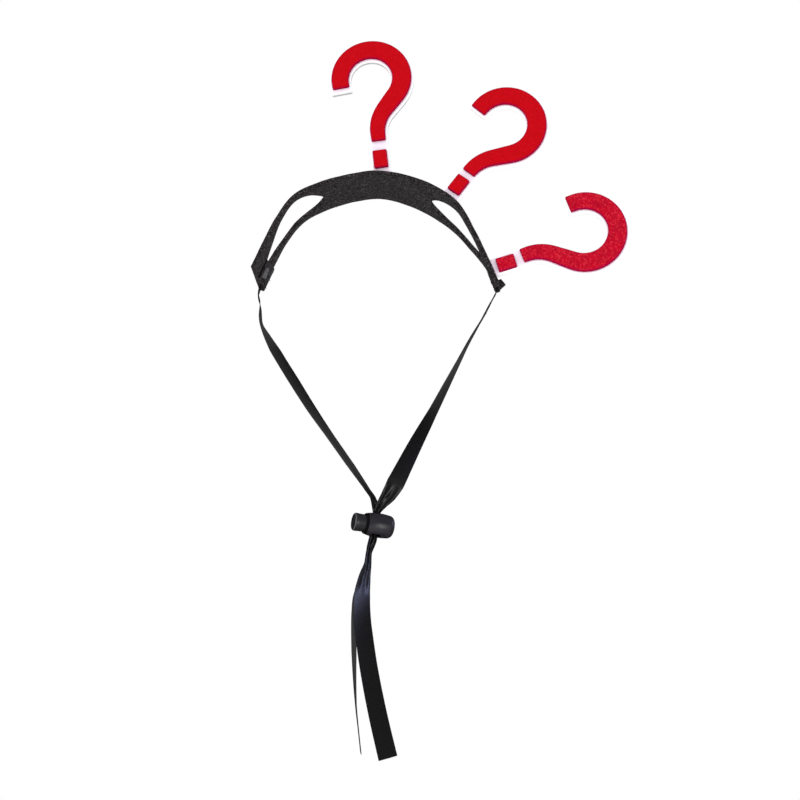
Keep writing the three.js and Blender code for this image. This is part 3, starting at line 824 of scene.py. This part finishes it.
def make_dot(mark, place, front):
    turn = Matrix.Rotation(math.radians(mark["dot_turn"]), 4, "Y")
    aside = STEM_OFFSET / 2 + mark["dot_shift"]
    half = DOT_HEIGHT / 2
    centre = Matrix.Translation((aside, 0.0, mark["dot_top"] - half))
    rings = []
    for depth, inset in DOT_RINGS:
        ring = section(STEM_WIDTH / 2 - inset, -half + inset, half - inset, DOT_CORNER)
        rings.append([place @ centre @ turn @ Vector((s, front + depth, v)) for s, v in ring])
    return red_piece(mark, rings, "dot")


print("cut edges:", [finish.name for finish in CUT_EDGE.values()])

# %% [markdown]
# The foam backing has to stand on the curved band. Its last ring is dropped along the stem until it
# meets the felt, found by casting a ray at the band's mesh for each point of the ring. Its front face
# has painted shade tinted pink by painted red light, and its walls are cut round where a strip of
# painted shade begins beside the rear edge.

# %% Foam backings
SEAT_GAP = 0.12
FOAM_CORNER = 0.4
FOOT_ABOVE = 2.5
RAY_REACH = 15


def paint_shade_on_foam(piece, back, shade_strip_width):
    """Paints shade, tinted pink by painted red light, on the front face, and painted shade on a strip
    beside the rear edge.
    """
    work = bmesh.new()
    work.from_mesh(piece.data)
    cut_at = (back - shade_strip_width) * MM
    everything = work.verts[:] + work.edges[:] + work.faces[:]
    bmesh.ops.bisect_plane(work, geom=everything, plane_co=(0, cut_at, 0), plane_no=(0, 1, 0))
    work.to_mesh(piece.data)
    work.free()
    # painted shade and painted red light on the front face
    paint_faces(piece, FOAM_PAINTED_FACE, lambda face: face.normal.y < -WALL_FROM)
    # painted shade on the walls behind the cut
    paint_faces(piece, FOAM_PAINTED_REAR, lambda face: is_wall(face) and face.center.y > cut_at)
    sharpen(piece, 50)


def make_backing(mark, place, front):
    line = hook_line(mark)
    foot = Vector((STEM_OFFSET / 2, FOOT_ABOVE))
    stem_end = line[-1]
    whole = line + [stem_end.lerp(foot, t) for t in (0.3, 0.65, 1.0)]
    share_at_stem = line_lengths(line)[-1] / line_lengths(whole)[-1]
    inner = front + RED_LAYER + GLUE_GAP

    def half_at(share):
        return stroke_half(share / share_at_stem) + BORDER

    grow = mark["end_border"]
    rings = stroke_piece(whole, half_at, inner, inner + FOAM, FOAM_CORNER, place, grow)[:-1]
    down = -(place.to_3x3() @ Vector((0, 0, 1)))
    landed = []
    for point in rings[-1]:
        hit = BAND_TREE.ray_cast(point * MM, down, RAY_REACH * MM)[0]
        landed.append((hit / MM if hit else point + down * FOOT_ABOVE) - down * SEAT_GAP)
    rings.append(landed)
    name = f"question_{mark['name']}_base"
    piece = dress(loft(name + "_foam", rings), WHITE_FOAM, nodes=[name])
    paint_shade_on_foam(piece, inner + FOAM, mark["shade_strip_width"])
    return piece


marks = []
for mark in MARKS:
    place, front = mark_place(mark)
    marks.append(make_backing(mark, place, front))
    marks.append(make_hook(mark, place, front))
    marks.append(make_dot(mark, place, front))
print("question mark pieces:", len(marks))

# %% [markdown]
# ## The straps
# Each strap is one ribbon, 10 mm wide. It hangs in a gentle curve from the band to the lock, is
# bunched into small pleats where it passes through, and hangs free below. The route's points, the
# turn of the ribbon's face and its breadth are held in tables, and the pleats follow from the breadth.

# %% The lock's place and the straps' tables
STRAP_WIDTH = 10.0
STRAP_DEPTH = -0.7
POCKET_INSET = 0.006
RIBBON = 0.32
FREE_END = {"left": 111.5, "right": 118.0}
LOCK_TURN = math.radians(23)
LOCK_TILT = math.radians(4)
LOCK_RADIUS = 6.4
CHANNEL_OFFSET = -1.5
STRAP_SHIFT = 0.85
LOCK_DRIFT = 1.0
PLEATED = 0.38
TURN_IN_LOCK = 67
LOCK_PLACE = (
    Matrix.Translation((0.2, 2.0, -188.8))
    @ Matrix.Rotation(LOCK_TURN, 4, "Z")
    @ Matrix.Rotation(LOCK_TILT, 4, "Y")
)

UPPER_COLUMNS = ("down", "across", "rear", "turn", "breadth")
UPPER_RUNS = {
    "left": table(
        UPPER_COLUMNS,
        [
            (0.035, -0.018, 1.08, -7, 1),
            (0.085, 0.004, 1.0, -4, 1),
            (0.155, 0.01, 0.92, 4, 1),
            (0.21, 0.054, 0.86, 18, 1),
            (0.29, 0.138, 0.8, 33, 1),
            (0.42, 0.292, 0.7, 35, 1),
            (0.56, 0.463, 0.6, 32, 1),
            (0.67, 0.609, 0.5, 27, 0.98),
            (0.8, 0.785, 0.4, 26, 0.96),
            (0.9, 0.918, 0.3, 22, 0.82),
            (0.945, 0.975, 0.22, 30, 0.6),
        ],
    ),
    "right": table(
        UPPER_COLUMNS,
        [
            (0.04, 0.03, 0.0, -11, 1),
            (0.1, 0.085, -0.1, -8, 1),
            (0.156, 0.14, -0.15, -10, 1),
            (0.25, 0.238, -0.2, -5, 1),
            (0.352, 0.335, -0.2, 1, 1),
            (0.46, 0.438, -0.2, 9, 1),
            (0.565, 0.538, -0.2, 16, 1),
            (0.7, 0.676, -0.1, 33, 1),
            (0.806, 0.778, -0.05, 45, 1),
            (0.88, 0.85, 0.0, 56, 1),
            (0.93, 0.905, 0.0, 58, 0.84),
            (0.968, 0.958, 0.0, 62, 0.56),
        ],
    ),
}
LOWER_COLUMNS = ("down", "side", "rear", "turn", "breadth")
LOWER_RUNS = {
    "left": table(
        LOWER_COLUMNS,
        [
            (0.06, -0.3, 0.3, 24, 0.5),
            (0.13, -0.35, 0.5, 15, 0.76),
            (0.19, -0.61, 0.62, 10, 0.95),
            (0.26, -1.02, 0.7, 4, 1),
            (0.36, -1.1, 0.7, 10, 1),
            (0.54, -1.1, 0.7, 8, 1),
            (0.77, -1.0, 0.7, -1, 1),
            (0.9, -0.85, 0.7, -3, 1),
            (1.0, -0.73, 0.7, -3, 1),
        ],
    ),
    "right": table(
        LOWER_COLUMNS,
        [
            (0.06, -0.3, -0.1, 26, 0.55),
            (0.13, -0.38, -0.2, 26, 0.7),
            (0.19, -0.52, -0.3, 38, 0.88),
            (0.265, -0.64, -0.36, 48, 1),
            (0.37, -0.625, -0.4, 55, 1),
            (0.47, -0.5, -0.4, 60, 1),
            (0.6, -0.28, -0.4, 63, 1),
            (0.8, 0.17, -0.4, 69, 1),
            (1.0, 0.71, -0.4, 77, 1),
        ],
    ),
}
print("rows under the lock:", {side: len(rows) for side, rows in LOWER_RUNS.items()})

# %% [markdown]
# The curve through the points is a Catmull-Rom spline whose spans are weighted by the square root
# of their length, so that it doesn't loop or overshoot where a long span meets a short one.

# %% Strap routes
def strap_rows(side):
    seat = SEATS[side]
    behind = 1 if side == "left" else -1
    rows = []
    pocket_start = seat["pocket_from"] + POCKET_INSET * seat["end"]
    for share in steps(0.0, 1.0, 3):
        along = pocket_start + (seat["end"] - pocket_start) * share
        rows.append((band_point(along, seat["middle"], STRAP_DEPTH), seat["turn_out"] * share, 1))

    def in_lock(height, drift=0.0):
        return LOCK_PLACE @ Vector((CHANNEL_OFFSET + drift, behind * STRAP_SHIFT, height))

    start = band_point(seat["end"], seat["middle"], STRAP_DEPTH)
    mouth = in_lock(LOCK_RADIUS + 1)
    leave = in_lock(-LOCK_RADIUS - 1)
    for row in UPPER_RUNS[side]:
        point = Vector(
            (
                start.x + (mouth.x - start.x) * row["across"],
                row["rear"] * STRAP_WIDTH,
                start.z + (mouth.z - start.z) * row["down"],
            )
        )
        rows.append((point, row["turn"], row["breadth"]))
    for share, drift in ((1, 0.0), (0.5, 0.0), (-0.5, -LOCK_DRIFT), (-1, -LOCK_DRIFT)):
        rows.append((in_lock(share * (LOCK_RADIUS + 1), drift), TURN_IN_LOCK, PLEATED))
    for row in LOWER_RUNS[side]:
        point = leave + Vector((row["side"] * STRAP_WIDTH, 0, -row["down"] * FREE_END[side]))
        point.y = row["rear"] * STRAP_WIDTH
        rows.append((point, row["turn"], row["breadth"]))
    return rows


def spline_point(points, i, t):
    p1, p2 = points[i], points[i + 1]
    p0 = points[i - 1] if i else p1 * 2 - p2
    p3 = points[i + 2] if i + 2 < len(points) else p2 * 2 - p1
    d0, d1, d2 = (math.sqrt((b - a).length) for a, b in ((p0, p1), (p1, p2), (p2, p3)))
    m1 = ((p1 - p0) / d0 - (p2 - p0) / (d0 + d1) + (p2 - p1) / d1) * d1
    m2 = ((p2 - p1) / d1 - (p3 - p1) / (d1 + d2) + (p3 - p2) / d2) * d1
    a, b = p1 * (2 * t**3 - 3 * t**2 + 1), p2 * (3 * t**2 - 2 * t**3)
    return a + b + m1 * (t**3 - 2 * t**2 + t) + m2 * (t**3 - t**2)


print("points on the straps' routes:", {side: len(strap_rows(side)) for side in SEATS})

# %% [markdown]
# Across the ribbon, a row of points is laid nearly flat, slightly cupped, or as a wave of two
# pleats where the ribbon is squeezed. The pleats die out quickly outside the lock.

# %% Ribbons
SPAN_STEPS = 7
ACROSS_STEPS = 20
PLEAT_HEIGHT = 0.88
CUP = 0.2
CUP_LEVEL = 0.35
CUT_SLANT = {"left": 0.4, "right": -0.5}
NEAR = 0.02


def ribbon_section(breadth):
    """(place across, height, share of the half width) of each point across the ribbon, in mm."""
    squeezed = max(0.0, 1 - breadth**2)
    section_points = []
    for s in steps(-1.0, 1.0, ACROSS_STEPS):
        wave = PLEAT_HEIGHT * squeezed * math.sin(2 * math.pi * s)
        cup = CUP * (s * s - CUP_LEVEL) * breadth
        section_points.append((s * STRAP_WIDTH / 2 * breadth, wave + cup, s))
    return section_points


def ribbon_axes(points, i, t, turn):
    """The ribbon's direction, and the directions across its face and out of it."""
    middle = spline_point(points, i, t)
    ahead = spline_point(points, i, t + NEAR) if t + NEAR <= 1 else middle
    back = spline_point(points, i, t - NEAR) if t - NEAR >= 0 else middle
    tangent = (ahead - back).normalized()
    sideways = tangent.cross(Vector((0, 1, 0))).normalized()
    level = sideways.cross(tangent).normalized()
    wide = level * math.cos(turn) + sideways * math.sin(turn)
    return tangent, wide, tangent.cross(wide).normalized()


def make_strap(side):
    rows = strap_rows(side)
    points = [row[0] for row in rows]
    mesh_points = []
    texture = []
    travelled = 0.0
    before = points[0]
    spans = len(points) - 1
    for k in range(spans * SPAN_STEPS + 1):
        i = min(k // SPAN_STEPS, spans - 1)
        t = k / SPAN_STEPS - i
        middle = spline_point(points, i, t)
        travelled += (middle - before).length
        before = middle
        turn = math.radians(rows[i][1] + (rows[i + 1][1] - rows[i][1]) * t)
        breadth = rows[i][2] + (rows[i + 1][2] - rows[i][2]) * t
        tangent, wide, thick = ribbon_axes(points, i, t, turn)
        at_end = k == spans * SPAN_STEPS
        for across, height, s in ribbon_section(breadth):
            slant = tangent * (CUT_SLANT[side] * s) if at_end else Vector((0, 0, 0))
            mesh_points.append(middle + wide * across + thick * height + slant)
            texture.append((travelled * MM, s * STRAP_WIDTH / 2 * MM))
    faces = grid_faces(spans * SPAN_STEPS + 1, ACROSS_STEPS + 1)
    piece = new_piece(f"ribbon_{side}", mesh_points, faces)
    layer = piece.data.uv_layers.new(name="ribbon")
    for loop in piece.data.loops:
        layer.data[loop.index].uv = texture[loop.vertex_index]
    with_modifiers(piece, SOLIDIFY=dict(thickness=RIBBON * MM, offset=0.0, use_even_offset=True))
    sharpen(piece, 50)
    dress(piece, SATIN, nodes=[f"strap_{side}"])
    print("strap", side, "length, mm:", round(travelled, 1))


for side in SEATS:
    make_strap(side)

# %% [markdown]
# ## The cord lock
# The lock is a small barrel with a push button in its end. A channel runs across both, and the spring
# inside pushes the button out, so that the ribbons are pinched. Both pieces are turned from a profile
# and then cut by the channel, and a narrow bevel softens the cut edges as on moulded plastic.
# Painted shade makes the barrel near-black inside its mouth and round its rim, and a painted highlight
# makes the bevel of the button's cap paler. The button's slot is long enough for the ribbons to stay
# clear of it when it is pressed.

# %% The lock's sizes
LOCK_LENGTH = 15.5
LOCK_RIM = 1.0
LOCK_ROUND = 2.9
RIM_ROUND = 0.22
LOCK_EDGE = 0.16
BORE_DEPTH = 2.4
LIP_DEPTH = 0.6
LIP_STEP = 0.05
SHADE_FROM_MOUTH = 0.8
SHADE_PAST_BORE = 0.1
BUTTON_RADIUS = 4.6
BUTTON_CAP = 0.12
BUTTON_OUT = 6.1
BUTTON_EDGE_ROUND = 0.14
CAP_CHAMFER = 0.6
NECK_TAPER = 0.4
NECK_STEP = 0.02
BEVEL_EDGE = 0.1
BUTTON_TRAVEL = 3.0
BUTTON_END_WALL = 1.4
CLEAR = 0.3
CHANNEL_LONG = 5.2
CHANNEL_DEEP = 5.2
PRESSED_ROOM = 0.55
CHANNEL_CORNER = 0.6
TURNED_STEPS = 72
ON_AXIS = 0.02
SLOT_END = CHANNEL_OFFSET + CHANNEL_LONG / 2
print("lock, mm: barrel", LOCK_LENGTH, "long,", 2 * LOCK_RADIUS, "across, button out by", BUTTON_OUT)

# %% [markdown]
# A turned piece is a profile carried round the lock's own axis. Each row of a profile is a place along
# the axis and a radius. The cutter for the channel is a rounded block that passes right across.

# %% Turning and cutting
def turned_piece(name, profile):
    rings = []
    for x, radius in profile:
        ring = []
        for a in steps(0.0, 2 * math.pi, TURNED_STEPS)[:-1]:
            ring.append(LOCK_PLACE @ Vector((x, radius * math.cos(a), radius * math.sin(a))))
        rings.append(ring)
    return loft(name, rings)


def cut(piece, cutter):
    with_modifiers(piece, BOOLEAN=dict(operation="DIFFERENCE", solver="EXACT", object=cutter))
    mesh = cutter.data
    bpy.data.objects.remove(cutter)
    bpy.data.meshes.remove(mesh)


def channel_cutter(low, high):
    rings = []
    for height in (-2 * LOCK_RADIUS, 2 * LOCK_RADIUS):
        ring = section((high - low) / 2, -CHANNEL_DEEP / 2, CHANNEL_DEEP / 2, CHANNEL_CORNER)
        rings.append([LOCK_PLACE @ Vector((x + (low + high) / 2, y, height)) for x, y in ring])
    return loft("channel", rings)


def arc_profile(x, radius, size, start, end, count=5):
    """Points of a quarter-round edge, from one angle to another in degrees."""
    return [
        (x + size * math.cos(math.radians(a)), radius + size * math.sin(math.radians(a)))
        for a in steps(start, end, count)
    ]


def in_lock_frame(face):
    return LOCK_PLACE.inverted() @ (face.center / MM)


print("corners round a turned piece:", TURNED_STEPS)

# %% [markdown]
# The barrel's profile starts at the bottom of its bore, goes out to the mouth and over the lip, and
# then along the slightly swollen outside to the closed end.

# %% The barrel
def make_lock_body():
    end = LOCK_LENGTH / 2
    bore_end = SLOT_END + BUTTON_END_WALL + BUTTON_TRAVEL + CLEAR
    bore = BUTTON_RADIUS + CLEAR
    barrel = steps(-end + RIM_ROUND, end - LOCK_ROUND, 12)
    swell = [(x, LOCK_RADIUS - LOCK_RIM * (x / end) ** 2) for x in barrel]
    mouth = LOCK_RADIUS - LOCK_RIM - RIM_ROUND
    profile = [(bore_end, ON_AXIS), (bore_end, bore)]
    profile += [(-end + BORE_DEPTH, bore), (-end + LIP_DEPTH, mouth - LIP_STEP)]
    profile += arc_profile(-end + RIM_ROUND, mouth, RIM_ROUND, 180, 90)
    profile += swell[1:]
    profile += arc_profile(end - LOCK_ROUND, swell[-1][1] - LOCK_ROUND, LOCK_ROUND, 90, 0, 8)[1:]
    profile += [(end, ON_AXIS)]
    piece = turned_piece("lock_barrel", profile)
    cut(piece, channel_cutter(SLOT_END - CHANNEL_LONG, SLOT_END))
    soften(piece, LOCK_EDGE, sharper_than=40)
    sharpen(piece, 45)

    # painted shade: faces in the mouth and near the rim get near-black plastic
    def is_painted_shade(face):
        place = in_lock_frame(face)
        inside = math.hypot(place.y, place.z) < mouth + SHADE_PAST_BORE
        return place.x < -end + SHADE_FROM_MOUTH or (place.x < 0 and inside)

    dress(piece, BODY_PLASTIC, nodes=["lock_body"])
    paint_faces(piece, MOUTH_PAINTED_SHADE, is_painted_shade)
    return piece


lock_body = make_lock_body()
print("barrel faces:", len(lock_body.data.polygons))

# %% [markdown]
# The button's cap is a little wider than its neck, which slides in the bore.

# %% The button
def make_lock_button():
    outer = -LOCK_LENGTH / 2 - BUTTON_OUT
    cap = BUTTON_RADIUS + BUTTON_CAP
    inner = SLOT_END + BUTTON_END_WALL
    profile = [(outer, ON_AXIS), (outer, cap - CAP_CHAMFER), (outer + CAP_CHAMFER, cap)]
    neck = outer + BUTTON_OUT - BUTTON_TRAVEL - CLEAR
    profile += [(neck - NECK_TAPER, cap - NECK_STEP), (neck, BUTTON_RADIUS)]
    profile += [(inner, BUTTON_RADIUS), (inner, ON_AXIS)]
    piece = turned_piece("lock_push_button", profile)
    cut(piece, channel_cutter(SLOT_END - CHANNEL_LONG - BUTTON_TRAVEL - PRESSED_ROOM, SLOT_END))
    soften(piece, BUTTON_EDGE_ROUND, sharper_than=40)
    sharpen(piece, 30)

    # painted highlight: the cap's bevel faces get a paler plastic
    def is_painted_highlight(face):
        return outer + BEVEL_EDGE < in_lock_frame(face).x < outer + CAP_CHAMFER - BEVEL_EDGE

    dress(piece, BUTTON_PLASTIC, body="button", nodes=["lock_button"])
    paint_faces(piece, BUTTON_PAINTED_HIGHLIGHT, is_painted_highlight)
    return piece


lock_button = make_lock_button()
print("button faces:", len(lock_button.data.polygons))

# %% [markdown]
# ## Hairs and stitches
# Short hairs stand out of the felt's faces and cut edges and soften its outline. Stitches hold the
# doubled ends. Both repeat many times over a surface or along a line, so Geometry Nodes make them,
# and the instances are realized so that the result is a plain mesh.

# %% Trees of nodes, and one that grows hairs on a surface
HAIR_SIDES = 3
HAIR_LEAN = 1.25
SHORTEST_HAIR = 0.35


def tree_with_inputs(name, **inputs):
    """A tree that takes a mesh and the named inputs, and gives back a mesh."""
    tree = bpy.data.node_groups.new(name, "GeometryNodeTree")
    for label, kind in dict(Geometry="Geometry", **inputs).items():
        tree.interface.new_socket(label, in_out="INPUT", socket_type="NodeSocket" + kind)
    tree.interface.new_socket("Geometry", in_out="OUTPUT", socket_type="NodeSocketGeometry")
    return tree, tree.nodes.new("NodeGroupInput"), tree.nodes.new("NodeGroupOutput")


def wire(tree, *wires):
    """Each wire is a node, the name of its output, the next node and the name of its input."""
    for source, output, target, socket in wires:
        tree.links.new(source.outputs[output], target.inputs[socket])


def plant_shape(tree, given, made, points, shape, turn):
    """Plants a shape on points, makes the instances real and gives them the material."""
    plant = tree.nodes.new("GeometryNodeInstanceOnPoints")
    realize = tree.nodes.new("GeometryNodeRealizeInstances")
    paint = tree.nodes.new("GeometryNodeSetMaterial")
    wire(
        tree,
        (points, "Points", plant, "Points"),
        (shape, "Mesh", plant, "Instance"),
        (turn, "Rotation", plant, "Rotation"),
        (plant, "Instances", realize, "Geometry"),
        (realize, "Geometry", paint, "Geometry"),
        (given, "Material", paint, "Material"),
        (paint, "Geometry", made, "Geometry"),
    )
    return plant


def hair_tree():
    tree, given, made = tree_with_inputs(
        "felt_hairs", Density="Float", Length="Float", Thickness="Float", Seed="Int", Material="Material"
    )
    scatter = tree.nodes.new("GeometryNodeDistributePointsOnFaces")
    hair = tree.nodes.new("GeometryNodeMeshCone")
    hair.inputs["Vertices"].default_value = HAIR_SIDES
    lean = tree.nodes.new("FunctionNodeRandomValue")
    lean.data_type = "FLOAT_VECTOR"
    lean.inputs[0].default_value = (-HAIR_LEAN, -HAIR_LEAN, 0.0)
    lean.inputs[1].default_value = (HAIR_LEAN, HAIR_LEAN, 2 * math.pi)
    to_rotation = tree.nodes.new("FunctionNodeEulerToRotation")
    rotate = tree.nodes.new("FunctionNodeRotateRotation")
    rotate.rotation_space = "LOCAL"
    size = tree.nodes.new("FunctionNodeRandomValue")
    size.inputs[2].default_value = SHORTEST_HAIR
    size.inputs[3].default_value = 1.0
    plant = plant_shape(tree, given, made, scatter, hair, rotate)
    wire(
        tree,
        (given, "Geometry", scatter, "Mesh"),
        (given, "Density", scatter, "Density"),
        (given, "Seed", scatter, "Seed"),
        (given, "Length", hair, "Depth"),
        (given, "Thickness", hair, "Radius Bottom"),
        (given, "Seed", lean, "Seed"),
        (lean, 0, to_rotation, 0),
        (scatter, "Rotation", rotate, "Rotation"),
        (to_rotation, 0, rotate, "Rotate By"),
        (given, "Seed", size, "Seed"),
        (size, 1, plant, "Scale"),
    )
    return tree


HAIRS = hair_tree()
print("hair tree: nodes", len(HAIRS.nodes), "links", len(HAIRS.links))

# %% [markdown]
# A tree runs on a copy of the felt pieces' meshes. The band's hairs are long enough to soften its
# outline, and those of the red felt only roughen its face.

# %% Grow the hairs
HAIR_THICKNESS = 0.035


def run_tree(name, source_mesh, tree, values):
    """Runs a tree on a mesh and returns a new plain piece."""
    carrier = bpy.data.objects.new(name, source_mesh)
    bpy.context.scene.collection.objects.link(carrier)
    modifier = carrier.modifiers.new("tree", "NODES")
    modifier.node_group = tree
    names = {s.name: s.identifier for s in tree.interface.items_tree if s.in_out == "INPUT"}
    for label, value in values.items():
        modifier[names[label]] = value
    return apply_modifiers(carrier)


def joined_copy(name, pieces):
    work = bmesh.new()
    for piece in pieces:
        work.from_mesh(piece.data)
    mesh = bpy.data.meshes.new(name)
    work.to_mesh(mesh)
    work.free()
    return mesh


def grow_hairs(name, pieces, per_mm2, length_mm, finish, seed):
    values = {
        "Density": per_mm2 / (MM * MM),
        "Length": length_mm * MM,
        "Thickness": HAIR_THICKNESS * MM,
        "Seed": seed,
        "Material": finish,
    }
    piece = run_tree(name, joined_copy(name, pieces), HAIRS, values)
    print(name, "hairs:", len(piece.data.polygons) // 4)
    return dress(piece, finish)


black_pieces = [band, tab, *laps]
grow_hairs("band_hairs", black_pieces, 1.25, 0.95, BLACK_HAIR, seed=7)
red_pieces = [piece for piece in marks if "felt" in piece.name]
grow_hairs("mark_hairs", red_pieces, 0.9, 0.26, RED_FELT, seed=11)

# %% [markdown]
# The stitches are short round pieces of thread, set at even steps along a seam and turned along it.

# %% A tree of nodes that sews a row of stitches along a line
STITCH_PITCH = 2.6
STITCH_LENGTH = 1.8
THREAD_RADIUS = 0.19
THREAD_SIDES = 8


def stitch_tree():
    tree, given, made = tree_with_inputs(
        "stitch_row", Pitch="Float", Stitch="Float", Thread="Float", Material="Material"
    )
    to_curve = tree.nodes.new("GeometryNodeMeshToCurve")
    spread = tree.nodes.new("GeometryNodeCurveToPoints")
    spread.mode = "LENGTH"
    stitch = tree.nodes.new("GeometryNodeMeshCylinder")
    stitch.inputs["Vertices"].default_value = THREAD_SIDES
    aim = tree.nodes.new("FunctionNodeAlignRotationToVector")
    aim.axis = "Z"
    plant_shape(tree, given, made, spread, stitch, aim)
    wire(
        tree,
        (given, "Geometry", to_curve, "Mesh"),
        (to_curve, "Curve", spread, "Curve"),
        (given, "Pitch", spread, "Length"),
        (given, "Stitch", stitch, "Depth"),
        (given, "Thread", stitch, "Radius"),
        (spread, "Tangent", aim, "Vector"),
    )
    return tree


STITCHES = stitch_tree()
THREAD, _ = new_finish("black thread", (0.0025, 0.0022, 0.0022), 0.7)
print("stitch tree: nodes", len(STITCHES.nodes), "links", len(STITCHES.links))


def sew(name, rows):
    """rows is a list of lines, each a list of points in mm."""
    points = []
    edges = []
    for line in rows:
        start = len(points)
        points += [p * MM for p in line]
        edges += [(start + i, start + i + 1) for i in range(len(line) - 1)]
    mesh = bpy.data.meshes.new(name)
    mesh.from_pydata(points, edges, [])
    values = {
        "Pitch": STITCH_PITCH * MM,
        "Stitch": STITCH_LENGTH * MM,
        "Thread": THREAD_RADIUS * MM,
        "Material": THREAD,
    }
    piece = run_tree(name, mesh, STITCHES, values)
    piece.data.shade_smooth()
    return dress(piece, THREAD)


# %% [markdown]
# Two seams cross each doubled end, and show on the layer's face and on the band's outer face.

# %% Rows of stitches on the doubled ends
SEAM_INSETS = (0.02, 0.075)
SEAM_FRONT = 0.08
SEAM_REAR = 0.93
SINK_IN_LAP = 0.02
SINK_IN_BAND = 0.08

seams = []
for side, seat in SEATS.items():
    shares = steps(seat["lap_front"] + SEAM_FRONT, SEAM_REAR, 8)
    for inset in SEAM_INSETS:
        along = seat["end"] * (1 - inset)
        for raised in (lap_face(side) + SINK_IN_LAP, FELT / 2 - SINK_IN_BAND):
            seams.append([band_point(along, share, raised) for share in shares])
sew("end_stitches", seams)
print("seams:", len(seams))

# %% [markdown]
# ## The strap's folded tail and the painted shadow at the pinched edge
# On the left end's inner face a short tail of the ribbon shows, folded over and sewn on. Its face
# has a painted sheen: a pale grey stands for the light it catches. Beside it, a thin black cord along
# the doubled layer's pinched front edge is painted shadow, for the shade in the gap there.

# %% The folded tail and the painted shadow line
TAIL_THICK = 0.35
TAIL_SINK = 0.3
TAIL_ROUND = 0.12
TAIL_CORNERS = ((-0.913, 0.47), (-0.897, 0.615), (-0.958, 0.685), (-0.985, 0.45))
# painted sheen: the tail's pale grey stands for the light on its satin face
TAIL_PAINTED_SHEEN, _ = new_finish("ribbon tail, painted sheen", (0.10, 0.10, 0.102), 0.45)
# painted shadow: a thin black cord along the doubled layer's front edge stands for the shade there
SHADOW_LINE_RADIUS = 0.42
SHADOW_LINE_SINK = 1.0
SHADOW_LINE_INSET = 0.012
SHADOW_LINE_SHARE = 0.002
SHADOW_LINE_END = 0.99


def make_tail():
    top_left, top_right, low_right, low_left = (Vector(corner) for corner in TAIL_CORNERS)
    rings = []
    for down in steps(0.0, 1.0, 6):
        left = top_left.lerp(low_left, down)
        right = top_right.lerp(low_right, down)
        places = [left.lerp(right, t) for t in steps(0.0, 1.0, 5)]
        face = [band_point(p.x, p.y, lap_face("left") - TAIL_THICK) for p in places]
        back = [band_point(p.x, p.y, lap_face("left") + TAIL_SINK) for p in places]
        rings.append(face + back[::-1])
    piece = loft("ribbon_tail", rings)
    soften(piece, TAIL_ROUND, sharper_than=50)
    return dress(piece, TAIL_PAINTED_SHEEN)


# Painted shadow: a black cord, in the thread's finish, laid where the edge is in shade.
def make_shadow_line():
    seat = SEATS["left"]
    face = lap_face("left")
    share = seat["lap_front"] + SHADOW_LINE_SHARE
    turns = steps(0.0, 2 * math.pi, 8)[:-1]
    rings = []
    for along in steps(seat["lap_from"] + SHADOW_LINE_INSET * seat["end"], seat["end"] * SHADOW_LINE_END, 16):
        middle = band_point(along, share, face + SHADOW_LINE_SINK)
        across = band_point(along, seat["lap_front"] + 0.02, face + SHADOW_LINE_SINK) - middle
        across = across.normalized() * SHADOW_LINE_RADIUS
        out = (band_point(along, share, face) - middle).normalized() * SHADOW_LINE_RADIUS
        rings.append([middle + across * math.cos(a) + out * math.sin(a) for a in turns])
    return dress(loft("shadow_line_left", rings), THREAD)


extras = [make_tail(), make_shadow_line()]
print("made:", [piece.name for piece in extras])

# %% [markdown]
# ## Floor and light
# A pale floor far below, a bright even surround and a few soft lights give the plain studio look.
# The surround lights every side but isn't mirrored, as if black cards stood beside the camera, so
# that the black ribbon and plastic stay black and show only the soft lights in their gloss: a tall
# one in front for the lock, a narrow strip at the left, a bluish window at the right for the ribbons
# and a dim panel behind. A white card from below lifts the undersides a little.

# %% Floor and lights
FLOOR_HEIGHT = -1.7
SURROUND_LIGHT = 1.0

floor_mesh = bpy.data.meshes.new("floor")
corners = [(x, y, FLOOR_HEIGHT) for x, y in ((-9, -9), (9, -9), (9, 9), (-9, 9))]
floor_mesh.from_pydata(corners, [], [(0, 1, 2, 3)])
floor = bpy.data.objects.new("floor", floor_mesh)
bpy.context.scene.collection.objects.link(floor)
floor_finish, _ = new_finish("pale floor", (0.96, 0.96, 0.96), 0.8)
floor_mesh.materials.append(floor_finish)
floor.visible_glossy = False

world = bpy.data.worlds.new("studio")
bpy.context.scene.world = world
world.use_nodes = True
sky = world.node_tree.nodes["Background"]
sky.inputs["Color"].default_value = (1.0, 1.0, 1.0, 1.0)
sky.inputs["Strength"].default_value = SURROUND_LIGHT
world.cycles_visibility.glossy = False
bpy.context.scene.view_settings.view_transform = "Standard"


def soft_light(name, place, aim, wide, tall, power, colour=(1.0, 1.0, 1.0)):
    data = bpy.data.lights.new(name, "AREA")
    data.shape = "RECTANGLE"
    data.size = wide
    data.size_y = tall
    data.energy = power
    data.color = colour
    lamp = bpy.data.objects.new(name, data)
    bpy.context.scene.collection.objects.link(lamp)
    lamp.visible_camera = False
    lamp.location = place
    lamp.rotation_euler = (Vector(aim) - Vector(place)).to_track_quat("-Z", "Y").to_euler()


AT_LOCK = (0.0, 0.0, -0.19)
BLUISH = (0.55, 0.6, 1.0)

soft_light("key light", (-0.5, -1.6, 0.8), (0.0, 0.0, -0.1), 0.7, 0.7, 6.0)
soft_light("tall front light", (0.86, -1.10, -0.73), AT_LOCK, 0.12, 0.9, 4.0)
soft_light("blue window", (1.44, -0.09, 0.26), AT_LOCK, 0.3, 0.65, 4.2, BLUISH)
soft_light("left strip", (-1.1, -0.85, -0.23), AT_LOCK, 0.15, 0.8, 3.2)
soft_light("rear panel", (0.99, 1.18, 0.5), AT_LOCK, 1.8, 1.8, 1.8)
soft_light("card from below", (0.15, -0.7, -1.2), (0.0, 0.0, 0.0), 1.4, 1.4, 3.0)
print("lights:", [light.name for light in bpy.data.lights])
